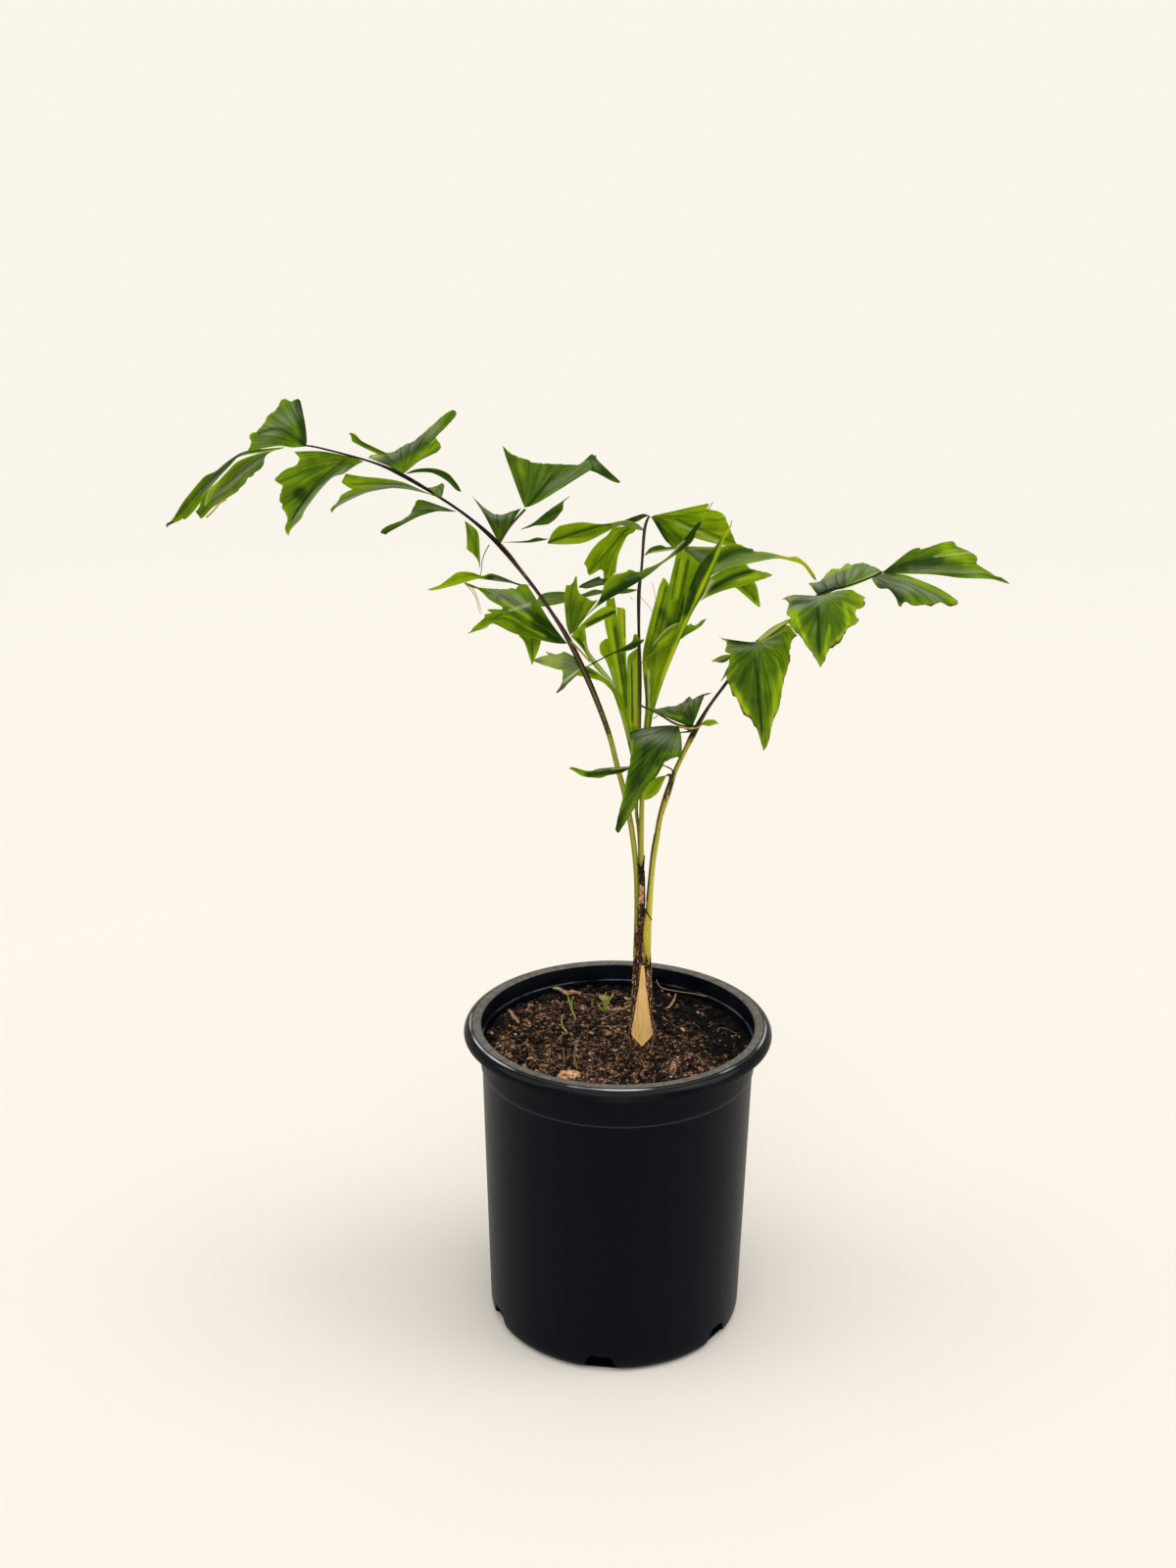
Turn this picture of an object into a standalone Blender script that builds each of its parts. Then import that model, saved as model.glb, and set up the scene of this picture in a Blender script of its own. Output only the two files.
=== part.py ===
"""Potted fishtail palm: a young palm in a black nursery pot.

Lengths are in millimetres and become metres where a mesh is made. The origin is the middle of the pot's
flat bottom, +Z is up, and the side that a viewer faces is -Y. Leaf points are (x, y, z).
"""
import math
import random

import bmesh
import bpy
from mathutils import Vector

MM = 0.001

# Pot: moulded nursery pot of about 8.6 inches across the rim
POT_HEIGHT = 230.4
RIM_RADIUS = 110.0
LIP_HEIGHT = 8.0
LIP_WALL = 1.4
LIP_ROUND = 0.4
RIM_DOME = 0.5
FOOT_RADIUS = 92.3
FOOT_ROUND = 7.6
FOOT_ROUND_STEPS = 4
COLLAR_Z = 197.0
COLLAR_RADIUS = 97.0
COLLAR_STEP = 0.9
COLLAR_SLOPE = 1.5
WALL_UNDER_LIP = 98.6
POT_WALL = 2.0
INNER_ROUND = 2.1
LEDGE_DROP = 13.5
LEDGE_WIDTH = 0.9
POT_STEPS = 48
POT_SMOOTH = 28

# Drainage openings round the foot
DRAINS = 6
DRAIN_TURN = -7.0
DRAIN_BOTTOM = 28.0
DRAIN_TOP = 15.0
DRAIN_HEIGHT = 8.0
DRAIN_INNER_RADIUS = 80.0
DRAIN_OVERSHOOT = 5.0

# Soil
GAP = 0.4
SOIL_TOP = 212.0
SOIL_MOUND = 2.2
SOIL_MOUND_WIDTH = 30.0
SOIL_WAVES = [(1.0, 0.21, 0.17, 0.3), (0.8, 0.37, 0.23, 1.1), (0.6, -0.52, 0.31, 0.0)]
SOIL_EDGE = 2.0
SOIL_CHAMFER = 10.5
SOIL_RINGS = 9
SOIL_STEPS = 40
SOIL_SMOOTH = 40

# Stem
STEM_X = 17.0
STEM_Y = -8.0
SOCKET_GAP = 0.32

# Blades
BLADE = 0.8
TIP_HALF_WIDTH = 0.35
FAN_RINGS = (0.0, 0.34, 0.68, 1.0)
TOOTH_SPACING = 7.0

FRONT = (0.0, -1.0, 0.25)


def clear_scene():
    for old in list(bpy.data.objects):
        bpy.data.objects.remove(old, do_unlink=True)


def collection(name):
    made = bpy.data.collections.new(name)
    bpy.context.scene.collection.children.link(made)
    return made


def material(name, color, roughness, metallic=0.0):
    made = bpy.data.materials.new(name)
    made.use_nodes = True
    shader = made.node_tree.nodes["Principled BSDF"]
    shader.inputs["Base Color"].default_value = (*color, 1.0)
    shader.inputs["Roughness"].default_value = roughness
    shader.inputs["Metallic"].default_value = metallic
    return made


def catmull(points, spans):
    """Smooth curve through points of any width, with the given number of spans between neighbours."""
    out = []
    last = len(points) - 1
    for i in range(last):
        p0, p1 = points[max(i - 1, 0)], points[i]
        p2, p3 = points[i + 1], points[min(i + 2, last)]
        for k in range(spans):
            t = k / spans
            out.append(tuple(
                0.5 * (2 * b + (c - a) * t + (2 * a - 5 * b + 4 * c - d) * t ** 2
                       + (3 * b - a - 3 * c + d) * t ** 3)
                for a, b, c, d in zip(p0, p1, p2, p3)))
    out.append(tuple(points[-1]))
    return out


def link_mesh(name, mesh, finish, home):
    made = bpy.data.objects.new(name, mesh)
    if finish:
        mesh.materials.clear()
        mesh.materials.append(finish)
    home.objects.link(made)
    return made


def as_mesh(source, home):
    """The evaluated object as a plain mesh object of the same name; the source is removed."""
    bpy.context.view_layer.update()
    graph = bpy.context.evaluated_depsgraph_get()
    mesh = bpy.data.meshes.new_from_object(source.evaluated_get(graph))
    mesh.transform(source.matrix_world)
    name = source.name
    bpy.data.objects.remove(source, do_unlink=True)
    bm = bmesh.new()
    bm.from_mesh(mesh)
    bmesh.ops.remove_doubles(bm, verts=bm.verts, dist=1e-6)
    bm.to_mesh(mesh)
    bm.free()
    return link_mesh(name, mesh, None, home)


def tube(name, points, finish, home, spans=2, sides=1, grow=0.0):
    """Tapered round bar along points (x, y, z, radius); sides counts the curve's bevel resolution."""
    curve = bpy.data.curves.new(name, "CURVE")
    curve.dimensions = "3D"
    curve.bevel_depth = MM
    curve.bevel_resolution = sides
    curve.use_fill_caps = True
    path = catmull(points, spans)
    spline = curve.splines.new("POLY")
    spline.points.add(len(path) - 1)
    for point, (x, y, z, radius) in zip(spline.points, path):
        point.co = (x * MM, y * MM, z * MM, 1.0)
        point.radius = radius + grow
    bar = as_mesh(link_curve(name, curve, home), home)
    if finish:
        bar.data.materials.clear()
        bar.data.materials.append(finish)
    return bar


def clearance(points, gap, home, sides=2, both_ends=False):
    """Cutter for the plain hole round a bar: wider by gap, and longer by gap at its first or both ends."""
    route = list(points)
    first, second = (Vector(p[:3]) for p in route[:2])
    route[0] = (*(first + (first - second).normalized() * gap), route[0][3])
    if both_ends:
        last, before = Vector(route[-1][:3]), Vector(route[-2][:3])
        route[-1] = (*(last + (last - before).normalized() * gap), route[-1][3])
    return tube("hole", route, None, home, spans=2, sides=sides, grow=gap)


def link_curve(name, curve, home):
    made = bpy.data.objects.new(name, curve)
    home.objects.link(made)
    return made


def sheet(name, grid, home):
    """Thin solid on a grid of points: rows that start at one shared point, or open rows."""
    bm = bmesh.new()
    fan = grid[0][0] == grid[1][0]
    root = bm.verts.new(Vector(grid[0][0]) * MM) if fan else None
    rows = [[root if fan and k == 0 else bm.verts.new(Vector(p) * MM) for k, p in enumerate(row)]
            for row in grid]
    for a, b in zip(rows, rows[1:]):
        for k in range(len(a) - 1):
            if fan and k == 0:
                bm.faces.new((root, a[1], b[1]))
            else:
                bm.faces.new((a[k], a[k + 1], b[k + 1]))
                bm.faces.new((a[k], b[k + 1], b[k]))
    mesh = bpy.data.meshes.new(name)
    bm.to_mesh(mesh)
    bm.free()
    made = link_mesh(name, mesh, None, home)
    wall = made.modifiers.new("thickness", "SOLIDIFY")
    wall.thickness = BLADE * MM
    wall.offset = 0.0
    return as_mesh(made, home)


def fan_blade(home, base, edge, cut=2.0, bows=((0, 0, 0), (0, -2, 1), (0, 0, 0)), seed=0):
    """Wedge leaflet whose veins run from base to its bitten outer edge.

    edge lists the outer edge from one corner to the other, cut is the depth of its teeth, and bows are
    how far the first, middle and last vein stand off a straight line half way along the longest vein.
    """
    draw = random.Random(seed + len(edge) * 7)
    root = Vector(base)
    ends = []
    for a, b in zip(edge, edge[1:]):
        ends.append((Vector(a), 0.0))
        if cut and (Vector(b) - Vector(a)).length > TOOTH_SPACING:
            ends.append((Vector(a).lerp(Vector(b), draw.uniform(0.4, 0.6)), cut * draw.uniform(0.6, 1.3)))
    ends.append((Vector(edge[-1]), 0.0))
    longest = max((end - root).length for end, _ in ends)
    first, middle, last = (Vector(b) for b in bows)
    grid = []
    for i, (end, bite) in enumerate(ends):
        s = i / (len(ends) - 1)
        bow = first.lerp(middle, 2 * s) if s < 0.5 else middle.lerp(last, 2 * s - 1)
        length = (end - root).length
        share = length / longest
        straight = end - root - bow * (4 * share * (1 - share))
        row = [tuple(root)]
        for ring in FAN_RINGS[1:]:
            r = ring * (1 - bite / length)
            row.append(tuple(root + straight * r + bow * (4 * share * r * (1 - share * r))))
        grid.append(row)
    return sheet("leaflet", grid, home)


def strap_blade(home, stations, facing=FRONT, fold=0.25, spans=1):
    """Long leaflet along stations (x, y, z, left half width, right half width), folded along its middle."""
    path = catmull(stations, spans)
    look = Vector(facing).normalized()
    rows = []
    for i, (x, y, z, left, right) in enumerate(path):
        ahead = Vector(path[min(i + 1, len(path) - 1)][:3])
        behind = Vector(path[max(i - 1, 0)][:3])
        across = (ahead - behind).normalized().cross(look).normalized()
        middle = Vector((x, y, z))
        left, right = max(left, TIP_HALF_WIDTH), max(right, TIP_HALF_WIDTH)
        rows.append([
            tuple(middle - across * left + look * fold * left),
            tuple(middle),
            tuple(middle + across * right + look * fold * right)])
    return sheet("leaflet", rows, home)


def boolean(target, other, operation, home):
    """Applies one Boolean on target and gives the result under the same name."""
    step = target.modifiers.new(operation.lower(), "BOOLEAN")
    step.operation = operation
    if isinstance(other, bpy.types.Collection):
        step.operand_type = "COLLECTION"
        step.collection = other
    else:
        step.object = other
    finish = target.data.materials[0] if target.data.materials else None
    name = target.name
    target.name = name + "_before"
    made = as_mesh(target, home)
    made.name = name
    made.data.materials.clear()
    made.data.materials.append(finish)
    return made


def empty_collection(group):
    for old in list(group.objects):
        bpy.data.objects.remove(old, do_unlink=True)
    bpy.data.collections.remove(group)


def pot_profile():
    """Half section of the pot, from the middle of its inner floor, over the rim, to the middle outside."""
    inner_foot = FOOT_RADIUS - POT_WALL
    collar_inner = COLLAR_RADIUS - POT_WALL
    ledge_inner = WALL_UNDER_LIP - POT_WALL
    mouth = ledge_inner + LEDGE_WIDTH
    lip_bottom = POT_HEIGHT - LIP_HEIGHT
    lip_inner = RIM_RADIUS - LIP_WALL
    ledge = POT_HEIGHT - LEDGE_DROP
    under_rim = POT_HEIGHT - POT_WALL
    inside = [
        (0.0, POT_WALL), (inner_foot - INNER_ROUND, POT_WALL), (inner_foot, POT_WALL + INNER_ROUND),
        (collar_inner, COLLAR_Z - COLLAR_SLOPE), (collar_inner + COLLAR_STEP, COLLAR_Z + COLLAR_SLOPE),
        (ledge_inner, ledge), (mouth, ledge + RIM_DOME), (mouth, POT_HEIGHT - 3 * RIM_DOME)]
    rim = [
        (mouth + RIM_DOME, POT_HEIGHT - RIM_DOME), (mouth + 3 * RIM_DOME, POT_HEIGHT),
        (lip_inner, POT_HEIGHT - RIM_DOME), (RIM_RADIUS - LIP_ROUND, POT_HEIGHT - 2 * RIM_DOME),
        (RIM_RADIUS, POT_HEIGHT - 4 * RIM_DOME), (RIM_RADIUS, lip_bottom + LIP_ROUND),
        (RIM_RADIUS - LIP_ROUND, lip_bottom), (lip_inner, lip_bottom),
        (lip_inner - LIP_ROUND, under_rim - LIP_ROUND), (WALL_UNDER_LIP + LIP_ROUND, under_rim)]
    outside = [
        (WALL_UNDER_LIP, lip_bottom - LIP_ROUND), (COLLAR_RADIUS + COLLAR_STEP, COLLAR_Z + LIP_ROUND),
        (COLLAR_RADIUS, COLLAR_Z - LIP_ROUND)]
    for k in range(FOOT_ROUND_STEPS + 1):
        turn = math.radians(90 * k / FOOT_ROUND_STEPS)
        outside.append((FOOT_RADIUS - FOOT_ROUND * (1 - math.cos(turn)),
                        FOOT_ROUND * (1 - math.sin(turn))))
    return inside + rim + outside + [(0.0, 0.0)]


def turned(name, profile, steps, home):
    """Solid of revolution about Z from (radius, height) pairs."""
    mesh = bpy.data.meshes.new(name)
    points = [(r * MM, 0.0, z * MM) for r, z in profile]
    mesh.from_pydata(points, [(i, i + 1) for i in range(len(points) - 1)], [])
    made = link_mesh(name, mesh, None, home)
    spin = made.modifiers.new("turn", "SCREW")
    spin.steps = spin.render_steps = steps
    spin.use_merge_vertices = True
    spin.merge_threshold = 0.00002
    return as_mesh(made, home)


def drain_cutter(index, home):
    """Wedge-shaped block that opens the wall and the floor's edge at one drainage opening."""
    turn = math.radians(DRAIN_TURN + index * 360 / DRAINS)
    out = Vector((math.sin(turn), -math.cos(turn), 0.0))
    side = Vector((math.cos(turn), math.sin(turn), 0.0))
    low, high = -DRAIN_OVERSHOOT, DRAIN_HEIGHT
    bm = bmesh.new()
    corners = []
    for radius in (DRAIN_INNER_RADIUS, FOOT_RADIUS + DRAIN_OVERSHOOT):
        ring = []
        for across, z in ((-DRAIN_BOTTOM / 2, low), (DRAIN_BOTTOM / 2, low),
                          (DRAIN_TOP / 2, high), (-DRAIN_TOP / 2, high)):
            ring.append(bm.verts.new((out * radius + side * across + Vector((0, 0, z))) * MM))
        corners.append(ring)
    bm.faces.new(corners[0])
    bm.faces.new(list(reversed(corners[1])))
    for k in range(4):
        bm.faces.new((corners[0][k], corners[1][k], corners[1][(k + 1) % 4], corners[0][(k + 1) % 4]))
    bmesh.ops.recalc_face_normals(bm, faces=bm.faces)
    mesh = bpy.data.meshes.new("drain")
    bm.to_mesh(mesh)
    bm.free()
    return link_mesh("drain", mesh, None, home)


def build_pot(parts, finish):
    pot = turned("pot", pot_profile(), POT_STEPS, parts)
    pot.data.materials.append(finish)
    cutters = collection("drain_cutters")
    for index in range(DRAINS):
        drain_cutter(index, cutters)
    pot = boolean(pot, cutters, "DIFFERENCE", parts)
    empty_collection(cutters)
    pot.data.shade_smooth()
    pot.data.set_sharp_from_angle(angle=math.radians(POT_SMOOTH))


def soil_height(x, y):
    """Height of the soil's surface: a low mound at the stem, with crumbs and hollows."""
    away = math.hypot(x - STEM_X, y - STEM_Y)
    mound = SOIL_MOUND * math.exp(-(away / SOIL_MOUND_WIDTH) ** 2)
    waves = sum(height * math.sin(along * x + across * y + shift)
                for height, along, across, shift in SOIL_WAVES)
    return SOIL_TOP + mound + waves


def build_soil(parts, finish, holes):
    """Root ball that fills the pot, with plain holes for what grows from it."""
    wall = COLLAR_RADIUS - POT_WALL - GAP
    foot = FOOT_RADIUS - POT_WALL - GAP
    floor = POT_WALL + GAP
    edge = wall + COLLAR_STEP
    profile = [(edge * k / SOIL_RINGS, SOIL_TOP) for k in range(SOIL_RINGS)]
    profile += [(edge, SOIL_TOP - SOIL_EDGE), (edge, COLLAR_Z + 2 * COLLAR_SLOPE + GAP),
                (wall, COLLAR_Z - COLLAR_SLOPE + GAP), (foot, floor + SOIL_CHAMFER),
                (foot - SOIL_CHAMFER, floor), (0.0, floor)]
    soil = turned("soil", profile, SOIL_STEPS, parts)
    for vert in soil.data.vertices:
        x, y, z = (c / MM for c in vert.co)
        if z > SOIL_TOP - SOIL_EDGE / 2:
            vert.co.z = soil_height(x, y) * MM
    soil.data.materials.append(finish)
    soil = boolean(soil, holes, "DIFFERENCE", parts)
    soil.data.shade_smooth()
    soil.data.set_sharp_from_angle(angle=math.radians(SOIL_SMOOTH))


# Routes of the stem and the leaf stalks: (x, y, z, radius)
STEM = [(17, -8, 152, 7.6), (17, -8, 185, 8.2), (17, -8, 213, 8.4), (16.8, -8, 235, 7.9),
        (16.5, -8, 262, 7.0), (16.3, -8, 285, 6.3), (16.3, -8, 296, 5.6), (16.3, -8, 302, 4.4)]
STEM_FIBRE = [(16.3, -11.5, 282, 1.6), (16.2, -13.2, 298, 1.7), (15.7, -13.5, 325, 1.2),
              (15.2, -13.6, 344, 0.9), (14.2, -13.4, 354, 0.4)]
STEM_HAIR = [(16.0, -13.4, 322, 0.5), (17.2, -13.8, 332, 0.5), (17.9, -13.8, 342, 0.4)]

LEFT_RACHIS = [
    (11.5, -9.4, 283, 2.1), (11.4, -9.7, 304, 2.2), (11.3, -10, 324, 2.2), (9.6, -9.6, 347, 2.2),
    (7.5, -9, 368, 2.1), (3, -9, 402, 1.8), (-3, -10, 424, 1.7), (-10, -10, 448, 1.6),
    (-22, -10, 479, 1.5), (-36, -14, 511, 1.4), (-47, -18, 531, 1.3), (-61, -22, 552, 1.3),
    (-81, -28, 578, 1.2), (-98, -34, 595, 1.1), (-116, -40, 609, 1.0), (-139, -46, 624, 0.9),
    (-158, -50, 633, 0.8), (-188, -56, 642, 0.7), (-198, -58, 644, 0.6)]
RIGHT_RACHIS = [
    (21.2, -7.2, 277, 2.7), (21.5, -6.5, 300, 2.6), (21.8, -5.6, 322, 2.4), (23, -5, 345, 2.2),
    (26, -6.5, 381, 1.9), (31, -9, 402, 1.7), (40, -12, 429, 1.6), (47, -14, 449, 1.5),
    (56, -16, 465, 1.4), (68, -20, 484, 1.4), (87, -28, 516, 1.3), (106, -34, 530, 1.2),
    (123, -40, 549, 1.1), (141, -48, 557, 0.9), (155, -54, 564, 0.8), (161, -57, 568, 0.6)]
MIDDLE_RACHIS = [
    (14, -4, 298, 1.3), (13.9, -4, 325, 1.3), (13.8, -4, 350, 1.3), (12.6, -5, 374, 1.2),
    (10.6, -9, 391, 1.2), (10.8, -13.2, 408, 1.2), (11.4, -15, 430, 1.2), (11.3, -15, 467, 1.1),
    (11, -15, 493, 1.1), (10.2, -10, 517, 1.0), (10.2, 2, 541, 1.0), (12, 12, 555, 0.9),
    (14, 28, 578, 0.8), (17, 34, 586, 0.7)]
YOUNG_STALK = [
    (16.3, -9.3, 298, 1.35), (16.2, -9.6, 320, 1.5), (15, -10, 345, 1.7), (14.2, -10, 369, 1.8),
    (14.2, -10, 402, 1.6), (14.8, -9.6, 425, 1.5), (16.4, -8.4, 446, 1.3), (18, -8, 464, 1.0)]


def build_stem(parts, finish):
    stem = tube("stem", STEM, finish, parts, spans=2, sides=3)
    fibres = collection("stem_fibres")
    tube("fibre", STEM_FIBRE, None, fibres, spans=2, sides=1)
    tube("hair", STEM_HAIR, None, fibres, spans=2, sides=1)
    stem = boolean(stem, fibres, "UNION", parts)
    empty_collection(fibres)
    sockets = collection("stem_sockets")
    for route in (LEFT_RACHIS, RIGHT_RACHIS, MIDDLE_RACHIS, YOUNG_STALK):
        clearance(route[:4], SOCKET_GAP, sockets)
    stem = boolean(stem, sockets, "DIFFERENCE", parts)
    empty_collection(sockets)
    stem.data.shade_smooth()


def stem_radius(z):
    for (_, _, low, a), (_, _, high, b) in zip(STEM, STEM[1:]):
        if low <= z <= high:
            return a + (b - a) * (z - low) / (high - low)
    return STEM[-1][3]


# Dry sheath: (height, half width measured round the stem), and how far it stands off the stem
SHEATH = [(279, 0.8), (270, 2.0), (262, 2.9), (252, 4.0), (240, 6.0), (228, 7.4), (222, 6.0), (218, 1.2)]
SHEATH_COLUMNS = 6
SHEATH_STAND_OFF = 0.95
SHEATH_LEAN = 0.0067


def build_sheath(parts, finish):
    """Dry sheath of an old leaf, wrapped round the front of the stem's foot."""
    rows = []
    for z, half in SHEATH:
        radius = stem_radius(z) + SHEATH_STAND_OFF
        middle = STEM_X - SHEATH_LEAN * (z - SOIL_TOP)
        row = []
        for k in range(SHEATH_COLUMNS + 1):
            turn = (half / radius) * (2 * k / SHEATH_COLUMNS - 1)
            row.append((middle + radius * math.sin(turn), STEM_Y - radius * math.cos(turn), z))
        rows.append(row)
    sheath = sheet("dry_sheath", rows, parts)
    sheath.name = "dry_sheath"
    sheath.data.materials.append(finish)


def finish_frond(name, core, blades, parts, finish):
    core.name = name
    core.data.materials.clear()
    core.data.materials.append(finish)
    made = boolean(core, blades, "UNION", parts)
    empty_collection(blades)
    made.name = name
    return made


def build_left_frond(parts, finish):
    core = tube("left_core", LEFT_RACHIS, finish, parts, spans=2, sides=1)
    blades = collection("left_blades")
    # End of the frond: two long folded lobes and an upright fan
    strap_blade(blades, [
        (-197, -58, 643, 0.6, 0.6), (-211, -60, 643, 0.9, 0.9), (-227, -62, 641, 1.2, 1.2),
        (-238, -64, 636, 2, 2), (-249, -66, 626, 5, 5), (-262, -66, 616, 6.5, 6.5),
        (-271, -65, 607, 4.5, 4.5), (-278, -64, 600, 2.2, 2.2), (-285, -62, 593, 0.6, 0.6)])
    strap_blade(blades, [
        (-208, -59.5, 643, 0.6, 0.6), (-222, -67, 639, 3, 3), (-232, -71, 630, 6.5, 6.5),
        (-242, -72, 622, 7, 7), (-252, -72, 613, 5.4, 5.4), (-259, -71, 606, 3, 3),
        (-263, -70, 601, 0.6, 0.6)], fold=-0.3)
    fan_blade(blades, (-197, -58, 644), [
        (-235, -50, 639), (-233, -47, 647), (-224, -44, 655), (-216, -42, 662), (-212, -40, 669),
        (-207, -40, 667), (-204, -40, 670)], cut=1.5, bows=((2, -3, 3), (0, -3, 3), (1, 0, 0)), seed=2)
    # Outer left pairs
    fan_blade(blades, (-165, -51, 635), [
        (-204, -58, 640), (-202, -61, 636), (-215, -68, 626), (-211, -70, 621), (-212, -72, 610),
        (-208, -74, 592)], cut=2, bows=((0, -2, 1), (0, -5, 3), (0, 1, 1)), seed=3)
    fan_blade(blades, (-139, -46, 624), [
        (-160, -42, 634), (-172, -34, 648), (-151, -38, 637), (-139, -36, 641), (-129, -30, 649),
        (-112, -26, 661), (-109, -26, 659), (-119, -32, 645), (-116, -36, 642), (-130, -43, 630)],
        cut=0, bows=((0, -1, 0), (0, -2, 1), (0, 0, 0)))
    strap_blade(blades, [
        (-139, -46, 624, 0.6, 0.6), (-128, -42, 627, 1.8, 1.8), (-117, -40, 625, 2.1, 2.1),
        (-110, -40, 620, 1.5, 1.5), (-104, -41, 614, 0.4, 0.4)])
    fan_blade(blades, (-128, -43, 617), [
        (-173, -50, 626), (-176, -53, 623), (-171, -56, 618), (-177, -60, 612), (-182, -62, 604)],
        cut=0, bows=((0, -3, 5), (0, -3, 6), (0, -3, 7)))
    fan_blade(blades, (-127, -43, 616), [(-116, -40, 619), (-113, -42, 613), (-117, -43, 609)], cut=0)
    fan_blade(blades, (-109, -37, 603), [
        (-130, -44, 609), (-134, -47, 604), (-138, -50, 600), (-146, -52, 595), (-153, -54, 589)],
        cut=0, bows=((0, -2, 2), (0, -2, 2), (0, -2, 2)))
    fan_blade(blades, (-101, -35, 597), [
        (-94, -40, 589), (-91, -46, 568), (-96, -46, 574), (-101, -44, 580)],
        cut=0, bows=((1, 0, 0), (0, -2, 0), (0, 0, 0)))
    # Side branch above the frond, leaning away
    tube("side_branch", [(-81, -28, 578, 0.9), (-74, -26, 589, 0.9), (-64, -24, 600, 0.8)], None, blades)
    fan_blade(blades, (-80, -28, 579), [
        (-98, -22, 608), (-90, -22, 600), (-77, -22, 597), (-66, -23, 599)],
        cut=1, bows=((0, 1, 0), (0, -1, 0), (0, 0, 0)), seed=6)
    fan_blade(blades, (-64, -24, 600), [
        (-79, -8, 638), (-74, -8, 632), (-57, -8, 627), (-32, -10, 627), (-25, -10, 630),
        (-19, -12, 632), (-10, -16, 624), (-4, -18, 618)],
        cut=2, bows=((0, -3, 0), (0, -5, 3), (0, -3, 10)), seed=7)
    fan_blade(blades, (-75, -26.2, 588), [
        (-36, -36, 610), (-39, -36, 602), (-49, -33, 593), (-58, -30, 589)],
        cut=0, bows=((0, -1, 1), (0, -1, 1), (0, -1, 1)))
    strap_blade(blades, [
        (-80, -28, 578, 0.6, 0.6), (-66, -33, 582, 1.9, 1.9), (-58, -35, 584, 2.2, 2.2),
        (-50, -37, 583, 0.4, 0.4)])
    # Middle of the frond, left
    strap_blade(blades, [
        (-61, -22, 552, 0.6, 0.6), (-68, -24, 554, 1, 1), (-79, -28, 555, 1.8, 1.8),
        (-92, -32, 557, 2.4, 2.4), (-105, -36, 559, 3.9, 3.9), (-114, -39, 556, 2.4, 2.4),
        (-125, -42, 551, 0.4, 0.4)], facing=(0, -0.7, 0.7))
    fan_blade(blades, (-36, -14, 510), [
        (-63, -28, 552), (-69, -29, 551), (-83, -34, 551), (-92, -36, 551), (-88, -37, 546),
        (-80, -36, 539), (-89, -42, 534), (-100, -48, 524)],
        cut=1.5, bows=((4, -3, -3), (0, -5, 2), (0, -2, -2)), seed=8)
    strap_blade(blades, [
        (-35, -14, 509, 0.6, 0.6), (-46, -16, 510, 1.6, 1.6), (-56, -18, 508, 3.2, 3.2),
        (-59, -19, 503, 2.4, 2.4), (-60, -20, 499, 0.4, 0.4)])
    # Middle of the frond, right: the long leaflet that crosses in front
    fan_blade(blades, (-36, -14, 512), [
        (-39, -20, 534), (-39, -22, 549), (-31, -22, 556), (-29, -24, 545), (-24, -26, 542),
        (-16, -28, 542)], cut=1.5, bows=((-2, 0, 0), (0, -2, 0), (0, -1, -1)), seed=9)
    strap_blade(blades, [
        (-36, -14, 512, 0.6, 0.6), (-25, -20, 529, 3.8, 3.8), (-15, -26, 542, 5.4, 5.4),
        (-5, -30, 552, 7.2, 7.2), (5, -34, 558, 5.4, 5), (15, -37, 565, 4, 4), (28, -41, 576, 3.1, 3.1),
        (38, -44, 587, 3.1, 3.1), (47, -47, 599, 2.5, 2.5), (54, -50, 609, 0.4, 0.4)], fold=0.45)
    fan_blade(blades, (-35, -14, 512), [
        (-16, -27, 538), (-12, -27, 535), (-6, -27, 532), (-16, -25, 525), (-25, -22, 518)],
        cut=0, bows=((0, 0, 0), (0, -1, 0), (0, 0, 0)))
    # Lowest leaflets
    fan_blade(blades, (-28, -11, 494), [
        (-38, -18, 505), (-51, -22, 506), (-48, -22, 503), (-58, -24, 500), (-41, -22, 493),
        (-40, -22, 487), (-44, -24, 479), (-38, -20, 482)],
        cut=0, bows=((0, -1, 0), (0, -2, 1), (0, 0, 0)))
    fan_blade(blades, (-27, -11, 492), [
        (-19, -14, 494), (-12, -16, 489), (-7, -18, 481), (-15, -16, 485), (-22, -14, 486)], cut=0)
    strap_blade(blades, [
        (-27, -11, 493, 0.5, 0.5), (-20, -15, 498, 0.5, 0.5), (-15, -18, 502, 0.5, 0.5),
        (-7, -21, 506, 0.6, 0.6), (-1, -23, 508, 1, 1), (3, -24, 510, 2.2, 2.2), (7, -25, 512, 3.2, 3.2),
        (11, -26, 514, 2.6, 2.6), (14, -27, 516, 0.4, 0.4)])
    finish_frond("frond_left", core, blades, parts, finish)


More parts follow.
